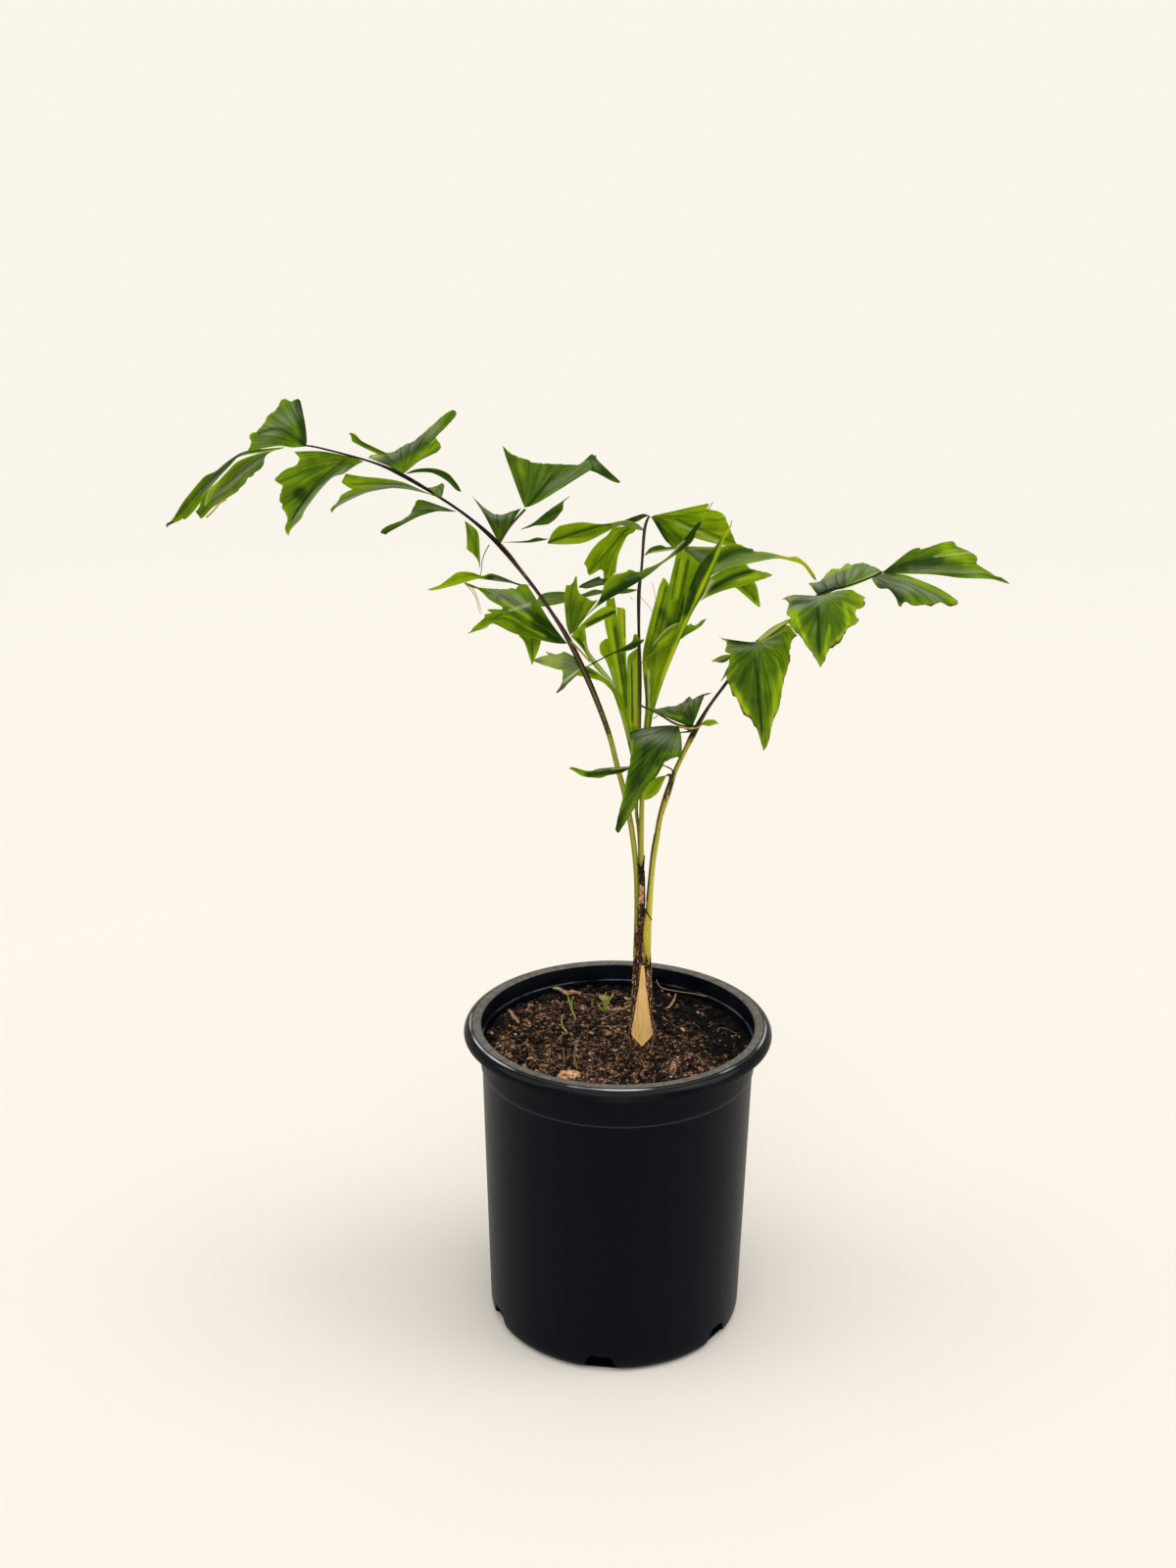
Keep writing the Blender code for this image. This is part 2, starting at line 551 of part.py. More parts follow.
def build_right_frond(parts, finish):
    core = tube("right_core", RIGHT_RACHIS, finish, parts, spans=2, sides=1)
    blades = collection("right_blades")
    # End of the frond
    fan_blade(blades, (160, -57, 568), [
        (176, -52, 580), (184, -50, 583), (196, -50, 583), (205, -50, 586), (214, -56, 581),
        (220, -60, 576), (233, -68, 568), (239, -72, 564)],
        cut=2, bows=((0, 1, 0), (0, -2, 5), (0, -2, 4)), seed=11)
    fan_blade(blades, (155, -54, 564), [
        (207, -72, 551), (194, -72, 550), (182, -70, 549), (172, -66, 548), (166, -62, 552)],
        cut=1.5, bows=((0, -2, 7), (0, -3, 3), (0, 0, 0)), seed=12)
    # Leaflet above the frond, leaning away
    fan_blade(blades, (123, -40, 549), [
        (117, -34, 556), (125, -32, 557), (132, -28, 563), (144, -24, 567), (153, -22, 567),
        (161, -22, 565), (165, -24, 561)], cut=1, bows=((0, 0, 0), (0, 2, 2), (0, 4, 0)), seed=13)
    # Two broad leaflets that hang to the front
    fan_blade(blades, (124, -41, 549), [
        (99, -52, 550), (104, -56, 542), (102, -58, 539), (110, -62, 527), (116, -62, 522),
        (124, -63, 508), (130, -63, 521), (138, -63, 526), (147, -60, 535), (148, -58, 544),
        (152, -54, 551)], cut=1.5, bows=((0, -2, 3), (0, -9, 4), (0, -2, 4)), seed=14)
    fan_blade(blades, (88, -28, 516), [
        (64, -34, 518), (67, -38, 511), (66, -44, 496), (73, -48, 482), (83, -50, 467),
        (92, -52, 449), (97, -50, 467), (102, -48, 486), (107, -44, 507), (110, -38, 523)],
        cut=2, bows=((0, -2, 3), (0, -10, 3), (0, -2, 3)), seed=15)
    fan_blade(blades, (90, -29, 517), [(95, -18, 520), (109, -16, 527), (114, -20, 518)], cut=1, seed=16)
    strap_blade(blades, [(73, -22, 490, 0.6, 0.6), (67, -25, 500, 2.2, 2.2), (58, -28, 503, 0.4, 0.4)])
    # Lower leaflets on thin stalks
    tube("stalk", [(47, -14, 449, 0.8), (43, -20, 450, 0.7), (37, -28, 454, 0.6)], None, blades)
    fan_blade(blades, (38, -27, 453.5), [
        (4, -38, 454), (6, -42, 445), (3, -45, 428), (0, -46, 413), (-3, -46, 397), (-1, -46, 390),
        (28, -37, 435), (38, -33, 438), (41, -28, 445)],
        cut=1.2, bows=((0, -5, 3), (-1, -7, 1), (1, -1, 0)), seed=17)
    tube("stalk", [(34, -10, 412, 0.6), (34.5, -13, 419, 0.6), (31, -15, 419, 0.5)], None, blades)
    fan_blade(blades, (31.5, -15, 419), [
        (21, -20, 417), (16, -23, 409), (16, -24, 405), (21, -24, 405), (25, -22, 409), (28, -20, 413)],
        cut=0, bows=((0, -1, 0), (0, -1, 0), (0, -1, 0)))
    strap_blade(blades, [
        (38, -11.5, 424, 0.6, 0.6), (27, -16, 426, 0.6, 0.6), (17, -19, 426, 0.8, 0.8),
        (4, -20, 425, 1.4, 1.4), (-6, -21, 424, 2.2, 2.2), (-15, -22, 423, 3, 3),
        (-24, -22, 423, 2.5, 2.5), (-31, -22, 424, 1.4, 1.4), (-36, -22, 426, 0.4, 0.4)],
        facing=(0, -0.8, 0.6))
    finish_frond("frond_right", core, blades, parts, finish)


def build_middle_frond(parts, finish):
    core = tube("middle_core", MIDDLE_RACHIS, finish, parts, spans=2, sides=1)
    blades = collection("middle_blades")
    # Low side branch that crosses to the right, with its two leaflets
    tube("side_branch", [
        (11.3, -15, 467, 0.8), (15, -16.5, 466, 0.7), (21, -18, 464, 0.7), (29, -20, 460, 0.7),
        (37, -21, 457, 0.7), (44, -22, 456, 0.6), (54, -23, 460, 0.5)], None, blades)
    fan_blade(blades, (44, -22, 456), [
        (22, -25, 469), (30, -26, 472), (38, -28, 475), (46, -29, 476), (58, -34, 482)],
        cut=1.2, bows=((0, -2, 1), (0, -4, 0), (-2, 0, 1)), seed=21)
    strap_blade(blades, [
        (53, -23, 460, 0.5, 0.5), (58, -24, 461, 1.8, 1.8), (61, -25, 460, 1.8, 1.8),
        (65, -25, 459, 0.4, 0.4)])
    # Dark leaflet in front of the young frond
    strap_blade(blades, [
        (11, -15, 493, 0.5, 0.5), (14, -16, 500, 1.9, 1.9), (21, -17, 508, 3.9, 3.9),
        (28, -17.5, 514, 5, 5), (36, -18, 519, 5, 5), (43, -18, 522, 3.2, 3.2), (50, -18, 525, 1.9, 1.9),
        (54, -18, 528, 0.4, 0.4)], fold=0.1)
    # Two narrow leaflets to the left, behind
    strap_blade(blades, [
        (10, 3, 543, 0.5, 0.5), (2, 8, 542, 2, 2), (-5, 11, 542, 2.6, 2.6), (-15, 14, 544, 2.8, 2.8),
        (-22, 16, 542, 2.6, 2.6), (-30, 18, 539, 0.4, 0.4)], facing=(0, -0.6, 0.8))
    strap_blade(blades, [
        (10, 0, 537, 0.5, 0.5), (-1, 7, 536, 2, 2), (-14, 13, 536, 2, 2), (-25, 18, 535, 2.2, 2.2),
        (-37, 22, 534, 4, 4), (-48, 24, 531, 4.6, 4.6), (-55, 25, 533, 0.4, 0.4)], facing=(0, -0.9, 0.5))
    # Grey leaflet on a thin stalk to the right, behind
    strap_blade(blades, [
        (13, 17, 562, 0.5, 0.5), (17, 20, 565, 1.6, 1.6), (23, 22, 567, 2.3, 2.3), (31, 24, 566, 1.3, 1.3),
        (42, 26, 566, 0.7, 0.7)], facing=(0, -0.6, 0.8))
    fan_blade(blades, (39, 25.5, 566), [(65, 30, 567), (87, 34, 564), (72, 32, 557), (53, 30, 555)],
              cut=2, bows=((0, 0, 1), (0, -2, 0), (0, 0, 0)), seed=22)
    # Double leaflet to the left
    strap_blade(blades, [
        (14, 28, 578, 0.7, 0.7), (6, 30, 581, 2, 2), (-7, 33, 579, 4, 4), (-21, 36, 575, 5.3, 5.3),
        (-32, 38, 573, 6.4, 6.4), (-43, 40, 570, 3.6, 3.6), (-51, 41, 567, 0.4, 0.4)],
        facing=(0, -0.9, 0.5), fold=-0.2)
    fan_blade(blades, (13.4, 24.2, 573.6), [
        (-18, 26, 566), (-26, 27, 554), (-23, 28, 545), (-15, 28, 549), (-13, 28, 541), (-6, 27, 545)],
        cut=0, bows=((-2, -1, 2), (-2, -2, 2), (-3, -1, 1)))
    # End of the frond: a short dark one, the big fan and the one under it
    strap_blade(blades, [
        (17, 34, 586, 0.7, 0.7), (9, 36, 585, 2, 2), (2, 37, 583, 2, 2), (-3, 38, 581, 0.4, 0.4)])
    fan_blade(blades, (16.5, 33.5, 586), [
        (59, 44, 594), (60, 44, 591), (66, 46, 588), (70, 46, 582), (73, 46, 576), (78, 47, 567)],
        cut=1.5, bows=((0, 0, 2), (0, -3, 3), (0, 0, -1)), seed=24)
    fan_blade(blades, (16.5, 33, 585), [(33, 34, 564), (37, 35, 568), (41, 35, 571)],
              cut=1, bows=((0, -1, 0), (0, -2, 0), (0, -1, 0)), seed=25)
    finish_frond("frond_middle", core, blades, parts, finish)


def build_young_frond(parts, finish):
    core = tube("young_core", YOUNG_STALK, finish, parts, spans=2, sides=2)
    blades = collection("young_blades")
    # Pleated straps on the left
    strap_blade(blades, [
        (14.2, -10, 409, 1.2, 1.2), (7, -6, 431, 2.3, 2.3), (0, -2, 455, 3.3, 3.3), (-6, 0, 474, 3.6, 3.6),
        (-11, 2, 486, 3.9, 3.9), (-18, 4, 500, 3.6, 3.6), (-25, 6, 514, 2, 2)])
    strap_blade(blades, [
        (14.3, -10, 412, 1.3, 1.3), (8.5, -3, 435, 2, 2), (4.5, 1, 460, 3.3, 3.3), (1, 3, 483, 4.6, 4.6),
        (-2, 5, 506, 5.6, 5.6), (-4, 6, 519, 5.6, 5.6), (-5, 6, 530, 5.2, 5.2)])
    strap_blade(blades, [
        (4.5, 0.5, 458, 1, 1), (-1, 5, 473, 2, 2), (-7, 9, 487, 3.3, 3.3), (-11, 10, 499, 4.3, 4.3),
        (-12, 10, 505, 3.3, 3.3), (-12, 10, 509, 1.8, 1.8)])
    strap_blade(blades, [
        (14.3, -9.8, 414, 1.5, 1.5), (11, -5, 436, 2.3, 2.3), (8.6, -2, 457, 3.3, 3.3),
        (7, -0.5, 477, 3.9, 3.9), (7, 0, 494, 3.6, 3.6), (8, 1, 504, 2.3, 2.3), (8.6, 1, 512, 1, 1)])
    # Broad blade that is still pleated, on the right
    fan_blade(blades, (18, -8, 462), [
        (15, -8.5, 497), (16.5, -9.5, 517), (20, -11, 535), (27, -13, 555), (31, -13, 549), (35, -15, 571),
        (39, -15, 573), (48, -16, 566), (49, -16, 549)],
        cut=0, bows=((0, 0, 0), (0, 1, 0), (0, 0, 0)))
    # Long folded blade with the pale middle rib
    strap_blade(blades, [
        (17, -8.2, 452, 1, 1), (20, -10, 466, 1.5, 1.5), (25, -14, 483, 3.3, 1.6), (32, -20, 501, 5.2, 1.9),
        (39, -24, 520, 6.4, 1.9), (46, -26, 538, 7.6, 1.9), (53, -28, 556, 9.5, 1.6),
        (59, -30, 570, 6.9, 1.6), (63, -31, 581, 3.1, 1.3), (67, -32, 592, 0.4, 0.4)], fold=0.15)
    # Blade that arches to the right, and the lobes under it
    strap_blade(blades, [
        (46, -26, 539, 1.3, 1.3), (56, -25.5, 555, 4.4, 4.4), (68, -25, 568, 6.3, 6.3),
        (78, -26, 571, 4.6, 4.6), (91, -27, 572, 2.1, 2.1), (102, -27, 570, 1.4, 1.4),
        (114, -27, 568, 1, 1), (121, -28, 563, 0.8, 0.8), (124, -28, 556, 0.4, 0.4)],
        facing=(0, -0.9, 0.4), fold=-0.1)
    fan_blade(blades, (46, -26, 538), [
        (74, -22, 563), (85, -25, 561), (95, -28, 560)],
        cut=0, bows=((0, 1, 0), (0, 1, 0), (0, 0, 0)))
    strap_blade(blades, [
        (46, -26, 538, 0.6, 0.6), (66, -19, 546, 1.3, 1.3), (77, -17, 547, 1.9, 1.9),
        (84, -17, 544, 3.2, 3.2), (89, -18, 537, 0.4, 0.4)])
    finish_frond("frond_young", core, blades, parts, finish)


SPROUTS = {
    "sprout_thin": [[(-30, 38, 206, 0.7), (-30, 38, 214, 0.7), (-31, 37.5, 222, 0.6), (-35, 37, 233, 0.4)],
                    [(-30, 38, 212, 0.5), (-29, 38, 220, 0.5), (-27.5, 38, 226, 0.35)]],
    "sprout_curled": [[(-30, 4, 206, 0.7), (-30, 4, 214, 0.7), (-33, 4, 218, 0.7), (-37, 4.5, 221, 0.6),
                       (-39.5, 5, 226, 0.5), (-40, 5, 231, 0.35)]],
    "sprout_cluster": [[(-8, 51, 206, 0.9), (-8, 51, 215, 0.9), (-10, 50, 221, 0.8), (-13, 49, 227, 0.5)],
                       [(-8, 51, 213, 0.7), (-6, 50, 221, 0.8), (-3, 50, 226, 0.5)],
                       [(-8, 51, 213, 0.7), (-8, 49, 220, 0.9), (-8.5, 48, 228, 0.5)]],
    "stalk_dry": [[(-28, -47, 206, 0.8), (-28.5, -46, 214, 0.8), (-31, -39, 224, 0.7), (-31, -36, 228, 0.4)],
                  [(-28.3, -47, 211, 0.7), (-34, -43, 217, 0.7), (-38, -33, 222, 0.5), (-38, -30, 224, 0.4)]],
}
STRAWS = {
    "straw_back": [(-44, 76, 0.9), (-34, 75, 1.0), (-24, 72, 0.7)],
    "stick_left": [(-80, 43, 1.1), (-74, 30, 1.3), (-70, 20, 1.0)],
    "root_right": [(31, 66, 0.8), (36, 60, 0.9), (45, 56, 0.9), (51, 52, 0.6)],
}
# Clod of bark: place, half length, half width, half height, rise above the soil's level, roughness
CLOD = (-34, -56, 8.0, 5.0, 4.2)
CLOD_RISE = 1.6
CLOD_ROUGH = 0.12
SUNK = 0.3


def lying(points):
    """Route of a twig that lies half sunk in the soil's surface, from (x, y, radius)."""
    return [(x, y, soil_height(x, y) + SUNK, radius) for x, y, radius in points]


def build_sprouts(parts, holes, green, straw):
    for name, stems in SPROUTS.items():
        finish = straw if name.endswith("dry") else green
        core = tube(name, stems[0], finish, parts, spans=2, sides=1)
        if len(stems) > 1:
            sides = collection(name + "_sides")
            for side in stems[1:]:
                tube("side", side, None, sides, spans=2, sides=1)
            core = boolean(core, sides, "UNION", parts)
            empty_collection(sides)
        for stem in stems:
            clearance(stem[:3], SOCKET_GAP, holes)
    for name, points in STRAWS.items():
        route = lying(catmull(points, 2))
        tube(name, route, straw, parts, spans=2, sides=1)
        clearance(route, SOCKET_GAP, holes, both_ends=True)


def clod(name, grow, home):
    """Rough clod of bark, partly sunk in the soil; grow makes the bed that it lies in."""
    x, y, length, width, height = CLOD
    bm = bmesh.new()
    bmesh.ops.create_icosphere(bm, subdivisions=2, radius=1.0)
    for vert in bm.verts:
        rough = 1 + CLOD_ROUGH * math.sin(5 * vert.co.x + 3 * vert.co.y) * math.cos(4 * vert.co.z + 1)
        size = Vector((length, width, height)) * rough + Vector((grow, grow, grow))
        vert.co = Vector((x, y, SOIL_TOP + CLOD_RISE)) * MM + vert.co * size * MM
    mesh = bpy.data.meshes.new(name)
    bm.to_mesh(mesh)
    bm.free()
    return link_mesh(name, mesh, None, home)


def build_litter(parts, holes, bark):
    piece = clod("bark_clod", 0.0, parts)
    piece.data.materials.append(bark)
    piece.data.shade_smooth()
    clod("bed", GAP, holes)


def main():
    clear_scene()
    parts = collection("potted_fishtail_palm")
    holes = collection("soil_holes")
    plastic = material("black_plastic", (0.008, 0.009, 0.012), 0.42)
    earth = material("potting_soil", (0.10, 0.06, 0.04), 0.95)
    bark = material("stem_fibre", (0.12, 0.06, 0.035), 0.9)
    golden = material("dry_sheath", (0.5, 0.27, 0.08), 0.7)
    leaf = material("leaf_green", (0.09, 0.19, 0.015), 0.45)
    young = material("young_green", (0.18, 0.32, 0.02), 0.45)
    straw = material("straw", (0.55, 0.42, 0.24), 0.8)
    rust = material("bark_clod", (0.35, 0.12, 0.04), 0.9)

    clearance(STEM[:4], GAP, holes, sides=3)
    build_pot(parts, plastic)
    build_stem(parts, bark)
    build_sheath(parts, golden)
    build_left_frond(parts, leaf)
    build_right_frond(parts, leaf)
    build_middle_frond(parts, leaf)
    build_young_frond(parts, young)
    build_sprouts(parts, holes, young, straw)
    build_litter(parts, holes, rust)
    build_soil(parts, earth, holes)
    empty_collection(holes)


main()
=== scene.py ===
"""Potted fishtail palm: the looks of the palm, its soil and its nursery pot.

Points and sizes in the tables are millimetres, and MM turns them into metres. The origin is the middle of
the pot's flat bottom, +Z is up, and the side that a viewer faces is -Y.
"""
import math
import random

import bpy
import numpy as np
from mathutils import Matrix, Vector, noise


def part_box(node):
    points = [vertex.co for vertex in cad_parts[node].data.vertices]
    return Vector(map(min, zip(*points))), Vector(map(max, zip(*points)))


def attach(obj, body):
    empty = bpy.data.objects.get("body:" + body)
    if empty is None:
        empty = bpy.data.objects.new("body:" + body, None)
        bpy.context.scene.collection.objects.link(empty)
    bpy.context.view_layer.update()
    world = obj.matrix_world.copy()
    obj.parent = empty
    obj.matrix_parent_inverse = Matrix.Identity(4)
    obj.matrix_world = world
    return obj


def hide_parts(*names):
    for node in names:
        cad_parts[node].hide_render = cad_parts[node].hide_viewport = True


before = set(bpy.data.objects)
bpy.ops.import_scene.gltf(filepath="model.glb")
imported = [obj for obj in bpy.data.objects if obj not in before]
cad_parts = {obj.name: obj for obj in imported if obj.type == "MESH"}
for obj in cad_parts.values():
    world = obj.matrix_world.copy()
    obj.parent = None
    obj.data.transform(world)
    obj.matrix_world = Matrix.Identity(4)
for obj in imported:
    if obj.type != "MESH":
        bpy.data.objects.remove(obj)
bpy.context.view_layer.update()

bl_info = {
    "name": "Potted fishtail palm",
    "version": (1, 0, 0),
    "blender": (4, 5, 0),
    "location": "View3D > Sidebar > Palm",
    "description": "Models a young fishtail palm in a black nursery pot",
    "category": "Object",
}

MM = 0.001
TURN = 2 * math.pi
BODY = "root"
POT_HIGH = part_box("pot")[1]
# Where the stem's foot stands, and the height and the radius of the soil's surface
STEM_X, STEM_Y = 17, -8
SOIL_LEVEL = 212
SOIL_RADIUS = 95.5


def linear(code):
    """sRGB hex colour as the linear values that a shader takes."""
    parts = [int(code[k:k + 2], 16) / 255 for k in (1, 3, 5)]
    return tuple(c / 12.92 if c <= 0.04045 else ((c + 0.055) / 1.055) ** 2.4 for c in parts)


def colour(name, description, code):
    return bpy.props.FloatVectorProperty(
        name=name, description=description, subtype="COLOR", size=3, min=0, max=1, default=linear(code))


def size(name, description, metres):
    return bpy.props.FloatProperty(
        name=name, description=description, subtype="DISTANCE", unit="LENGTH", min=0, default=metres)


def amount(name, description, number, least=0):
    return bpy.props.IntProperty(name=name, description=description, default=number, min=least)


def strength(name, description, value):
    return bpy.props.FloatProperty(name=name, description=description, default=value, min=0)


class PalmPotSettings(bpy.types.PropertyGroup):
    """Sizes and colours of the nursery pot."""
    rim_radius: size("Rim radius", "Outside radius of the rolled rim", POT_HIGH.x)
    height: size("Height", "From the floor to the top of the rim", POT_HIGH.z)
    facets: amount("Facets", "Facets round the pot", 144, 32)
    plastic: colour("Plastic", "Black polypropylene", "#040912")
    dust: colour("Dust", "Dried soil on the rim and inside", "#3a3733")


class PalmSoilSettings(bpy.types.PropertyGroup):
    """Grain and colours of the potting mix."""
    crumbs: amount("Crumbs", "Loose crumbs on the surface", 3400)
    clumps: amount("Clumps", "Larger clumps in the surface", 420)
    crumb_size: size("Crumb size", "Half length of a middling crumb", 0.8 * MM)
    # The dark and light peat also carry painted light and shade: laid by the relief, dark in the hollows and light on
    # the tops
    dark: colour("Dark peat", "Moist peat in the hollows", "#080403")
    light: colour("Light peat", "Drier peat on the crumbs", "#7b5943")
    chip: colour("Bark chip", "Pale bark chips and dry fibres", "#b8916d")


class PalmLeafSettings(bpy.types.PropertyGroup):
    """Thickness, veins and colours of the leaflets."""
    thickness: size("Thickness", "Thickness of a leaflet", 0.5 * MM)
    vein_pitch: size("Vein pitch", "Distance between fine veins at the outer edge", 1.3 * MM)
    fresh: colour("Fresh green", "Upper side of a grown leaflet", "#4f6c04")
    deep: colour("Deep green", "Shaded and older tissue", "#1e3801")
    lit: colour("Lit green", "Young or backlit tissue", "#88a708")
    yellow: colour("Yellowed margin", "Margin that has lost its green", "#aeb81c")
    # The grey bloom colour also stands for a painted sheen where leaflets face the light above
    bloom: colour("Grey bloom", "Waxy grey bloom on the upper side", "#868f78")
    burnt: colour("Burnt edge", "Dry brown edge", "#4d3016")


class PalmStalkSettings(bpy.types.PropertyGroup):
    """Colours of the stalks, the stem and the dry parts."""
    green: colour("Stalk green", "Smooth living stalk", "#9a9f26")
    dark: colour("Stalk dark", "Dark brown upper stalk", "#150b05")
    gold: colour("Stalk gold", "Yellowed foot of a stalk", "#cfc040")
    pale: colour("Stalk pale", "Pale stripe along a stalk", "#b79a6c")
    # The pale stripe is a painted highlight down the side of a stalk that faces the viewer
    fibre: colour("Fibre", "Brown matted fibre of the old leaf bases", "#6e472c")
    sheath: colour("Dry sheath", "Dry golden leaf sheath", "#ffd68c")
    straw: colour("Straw", "Dry straw, roots and scraps", "#cfa478")


class PalmStageSettings(bpy.types.PropertyGroup):
    """Floor, lights and camera."""
    floor: colour("Floor", "Warm white sweep", "#ebe6de")
    backdrop: colour("Backdrop", "Light around the object", "#faf5eb")
    ambient: strength("Ambient", "Light from all round", 0.49)
    key: strength("Key", "Broad light from the right", 0.72)
    fill: strength("Fill", "Broad light from the left", 0.44)
    front: strength("Front", "Broad light from the viewer's side", 0.56)
    top: strength("Top", "Broad light from above", 1.36)
    lens: bpy.props.FloatProperty(name="Lens", description="Focal length", default=41.6, unit="CAMERA")


def deselect():
    for item in bpy.context.selected_objects:
        item.select_set(False)


def activate(item):
    deselect()
    item.select_set(True)
    bpy.context.view_layer.objects.active = item


def edit(item, *steps):
    """Runs edit-mode steps on all of the item's mesh."""
    activate(item)
    bpy.ops.object.mode_set(mode="EDIT")
    bpy.ops.mesh.select_all(action="SELECT")
    for step in steps:
        step()
    bpy.ops.object.mode_set(mode="OBJECT")


def weld():
    bpy.ops.mesh.remove_doubles(threshold=2e-6)


def outward():
    bpy.ops.mesh.normals_make_consistent(inside=False)


def apply(item, kind, **settings):
    """Adds one modifier and applies it."""
    activate(item)
    step = item.modifiers.new(kind.lower(), kind)
    for key, value in settings.items():
        setattr(step, key, value)
    bpy.ops.object.modifier_apply(modifier=step.name)


def copied(source):
    """Copy of a finished shape with its own mesh."""
    made = source.copy()
    made.data = source.data.copy()
    bpy.context.scene.collection.objects.link(made)
    return made


def remove(item):
    bpy.data.objects.remove(item, do_unlink=True)


def join(name, items):
    """Makes the items one object of that name."""
    activate(items[0])
    for item in items[1:]:
        item.select_set(True)
    if len(items) > 1:
        bpy.ops.object.join()
    made = bpy.context.view_layer.objects.active
    made.name = made.data.name = name
    return made


def settle(item, finish, nodes=(), angle=50):
    """Last steps of a piece: its material, soft shading, its place on the frame and what it stands for."""
    item.data.materials.clear()
    item.data.materials.append(finish)
    activate(item)
    bpy.ops.object.shade_smooth_by_angle(angle=math.radians(angle))
    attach(item, BODY)
    if nodes:
        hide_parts(*nodes)


def shaped_grid(name, points, uv=None, tone=None):
    """Grid primitive whose vertices are drawn out to points[row, column], in millimetres."""
    rows, columns = points.shape[:2]
    deselect()
    bpy.ops.mesh.primitive_grid_add(x_subdivisions=columns - 1, y_subdivisions=rows - 1, size=1)
    made = bpy.context.view_layer.objects.active
    made.name = made.data.name = name
    mesh = made.data
    mesh.vertices.foreach_set("co", (points * MM).astype(np.float32).ravel())
    if uv is not None:
        corners = np.empty(len(mesh.loops), np.int32)
        mesh.loops.foreach_get("vertex_index", corners)
        mesh.uv_layers.active.data.foreach_set("uv", uv.reshape(-1, 2)[corners].astype(np.float32).ravel())
    if tone is None:
        tone = np.zeros(points.shape[:2] + (4,))
    layer = mesh.attributes.new("tone", "FLOAT_COLOR", "POINT")
    layer.data.foreach_set("color", tone.astype(np.float32).ravel())
    mesh.update()
    return made


def closed_grid(name, points, uv, tone):
    """Shaped grid whose last column meets its first, welded, with its faces outwards."""
    points[:, -1] = points[:, 0]
    made = shaped_grid(name, points, uv, tone)
    edit(made, weld, outward)
    return made


def catmull(points, spans):
    """Smooth curve through the rows of points, with spans steps between neighbours."""
    table = np.array(points, float)
    ends = np.vstack([table[:1], table, table[-1:]])
    t = np.linspace(0, 1, spans, endpoint=False)[:, None]
    out = [0.5 * (2 * b + (c - a) * t + (2 * a - 5 * b + 4 * c - d) * t ** 2
                  + (3 * b - a - 3 * c + d) * t ** 3)
           for a, b, c, d in zip(ends, ends[1:], ends[2:], ends[3:])]
    return np.vstack(out + [table[-1:]])


def unit(vectors):
    """Vectors of length one."""
    return vectors / np.maximum(np.linalg.norm(vectors, axis=-1, keepdims=True), 1e-9)


def travel(points):
    """Length run at each point of a path."""
    return np.concatenate([[0.0], np.cumsum(np.linalg.norm(np.diff(points, axis=0), axis=1))])


def smooth(low, high, value):
    """Soft step from 0 at low to 1 at high."""
    t = np.clip((value - low) / (high - low), 0, 1)
    return t * t * (3 - 2 * t)


def wander(where, seed, pitch):
    """Irregular wave between -1 and 1 along a length: three sines of unlike pitch."""
    draw = random.Random(seed)
    return sum(np.sin(TURN * where / (pitch * k) + draw.uniform(0, 6.3)) for k in (1.0, 0.618, 1.73)) / 3


def evenly(path, count):
    """Count points at equal steps along a path."""
    run = travel(path)
    steps = np.linspace(0, run[-1], count)
    return np.stack([np.interp(steps, run, path[:, k]) for k in range(path.shape[1])], axis=-1)


def away_from(points, line):
    """Distance of each point from a line."""
    best = np.full(points.shape[:-1], 1e9)
    for a, b in zip(line, line[1:]):
        step = b - a
        t = ((points - a) @ step / max(step @ step, 1e-9)).clip(0, 1)
        best = np.minimum(best, np.linalg.norm(points - a - t[..., None] * step, axis=-1))
    return best


def bulged(points, height):
    """Points moved along the normal of the sheet that they make, towards the side that faces the front."""
    normal = unit(np.cross(np.gradient(points, axis=0), np.gradient(points, axis=1)))
    if normal[..., 1].mean() > 0:
        normal = -normal
    return points + normal * height[..., None]


def tube(route, sides=10, spans=4, ridges=0.0, paint=None, seed=0, rough=0.0):
    """Closed bar along rows (x, y, z, radius); paint(path, turn) gives its tone attribute."""
    path = catmull(route, spans)
    path = np.concatenate([path[:1], path, path[-1:]])
    centre = path[:, :3]
    tangent = unit(np.gradient(centre, axis=0))
    tangent[0], tangent[-1] = tangent[1], tangent[-2]
    across = unit(np.cross(tangent, (0.02, 1.0, 0.02)))
    front = np.cross(across, tangent)
    turn = np.linspace(0, TURN, sides + 1)
    run = travel(centre)
    radius = path[:, 3, None] * (1 + ridges * np.cos(5 * turn))
    if rough:
        radius = radius * (1 + rough * wander(run, seed, 9)[:, None] + rough * np.sin(3 * turn + run[:, None] / 4))
    radius[0] = radius[-1] = 0
    points = centre[:, None] + radius[..., None] * (
        -front[:, None] * np.cos(turn)[:, None] + across[:, None] * np.sin(turn)[:, None])
    around = turn * path[:, 3].mean() / 100
    uv = np.stack(np.broadcast_arrays(around[None, :], run[:, None] / 100), axis=-1)
    return closed_grid("bar", points, uv, paint(path, turn) if paint else None)


def toned(*stops):
    """Paint whose tone changes with height: pairs (height in mm, tone)."""
    table = np.array(stops, float)
    return lambda path, turn: np.interp(path[:, 2], *table.T)[:, None, None] * np.ones((1, len(turn), 4))


def even_tone(value):
    """Paint of one tone all over."""
    return toned((0, value))


def add(tree, kind, inputs=(), output=0, **settings):
    """Adds a node with its settings and gives one of its outputs; an input is a value or the socket that feeds it."""
    node = tree.nodes.new("ShaderNode" + kind)
    for key, value in settings.items():
        setattr(node, key, value)
    for key, value in inputs.items() if isinstance(inputs, dict) else enumerate(inputs):
        socket = node.inputs[key]
        if isinstance(value, bpy.types.NodeSocket):
            tree.links.new(value, socket)
        else:
            socket.default_value = (*value, 1.0) if socket.type == "RGBA" else value
    return node.outputs[output]


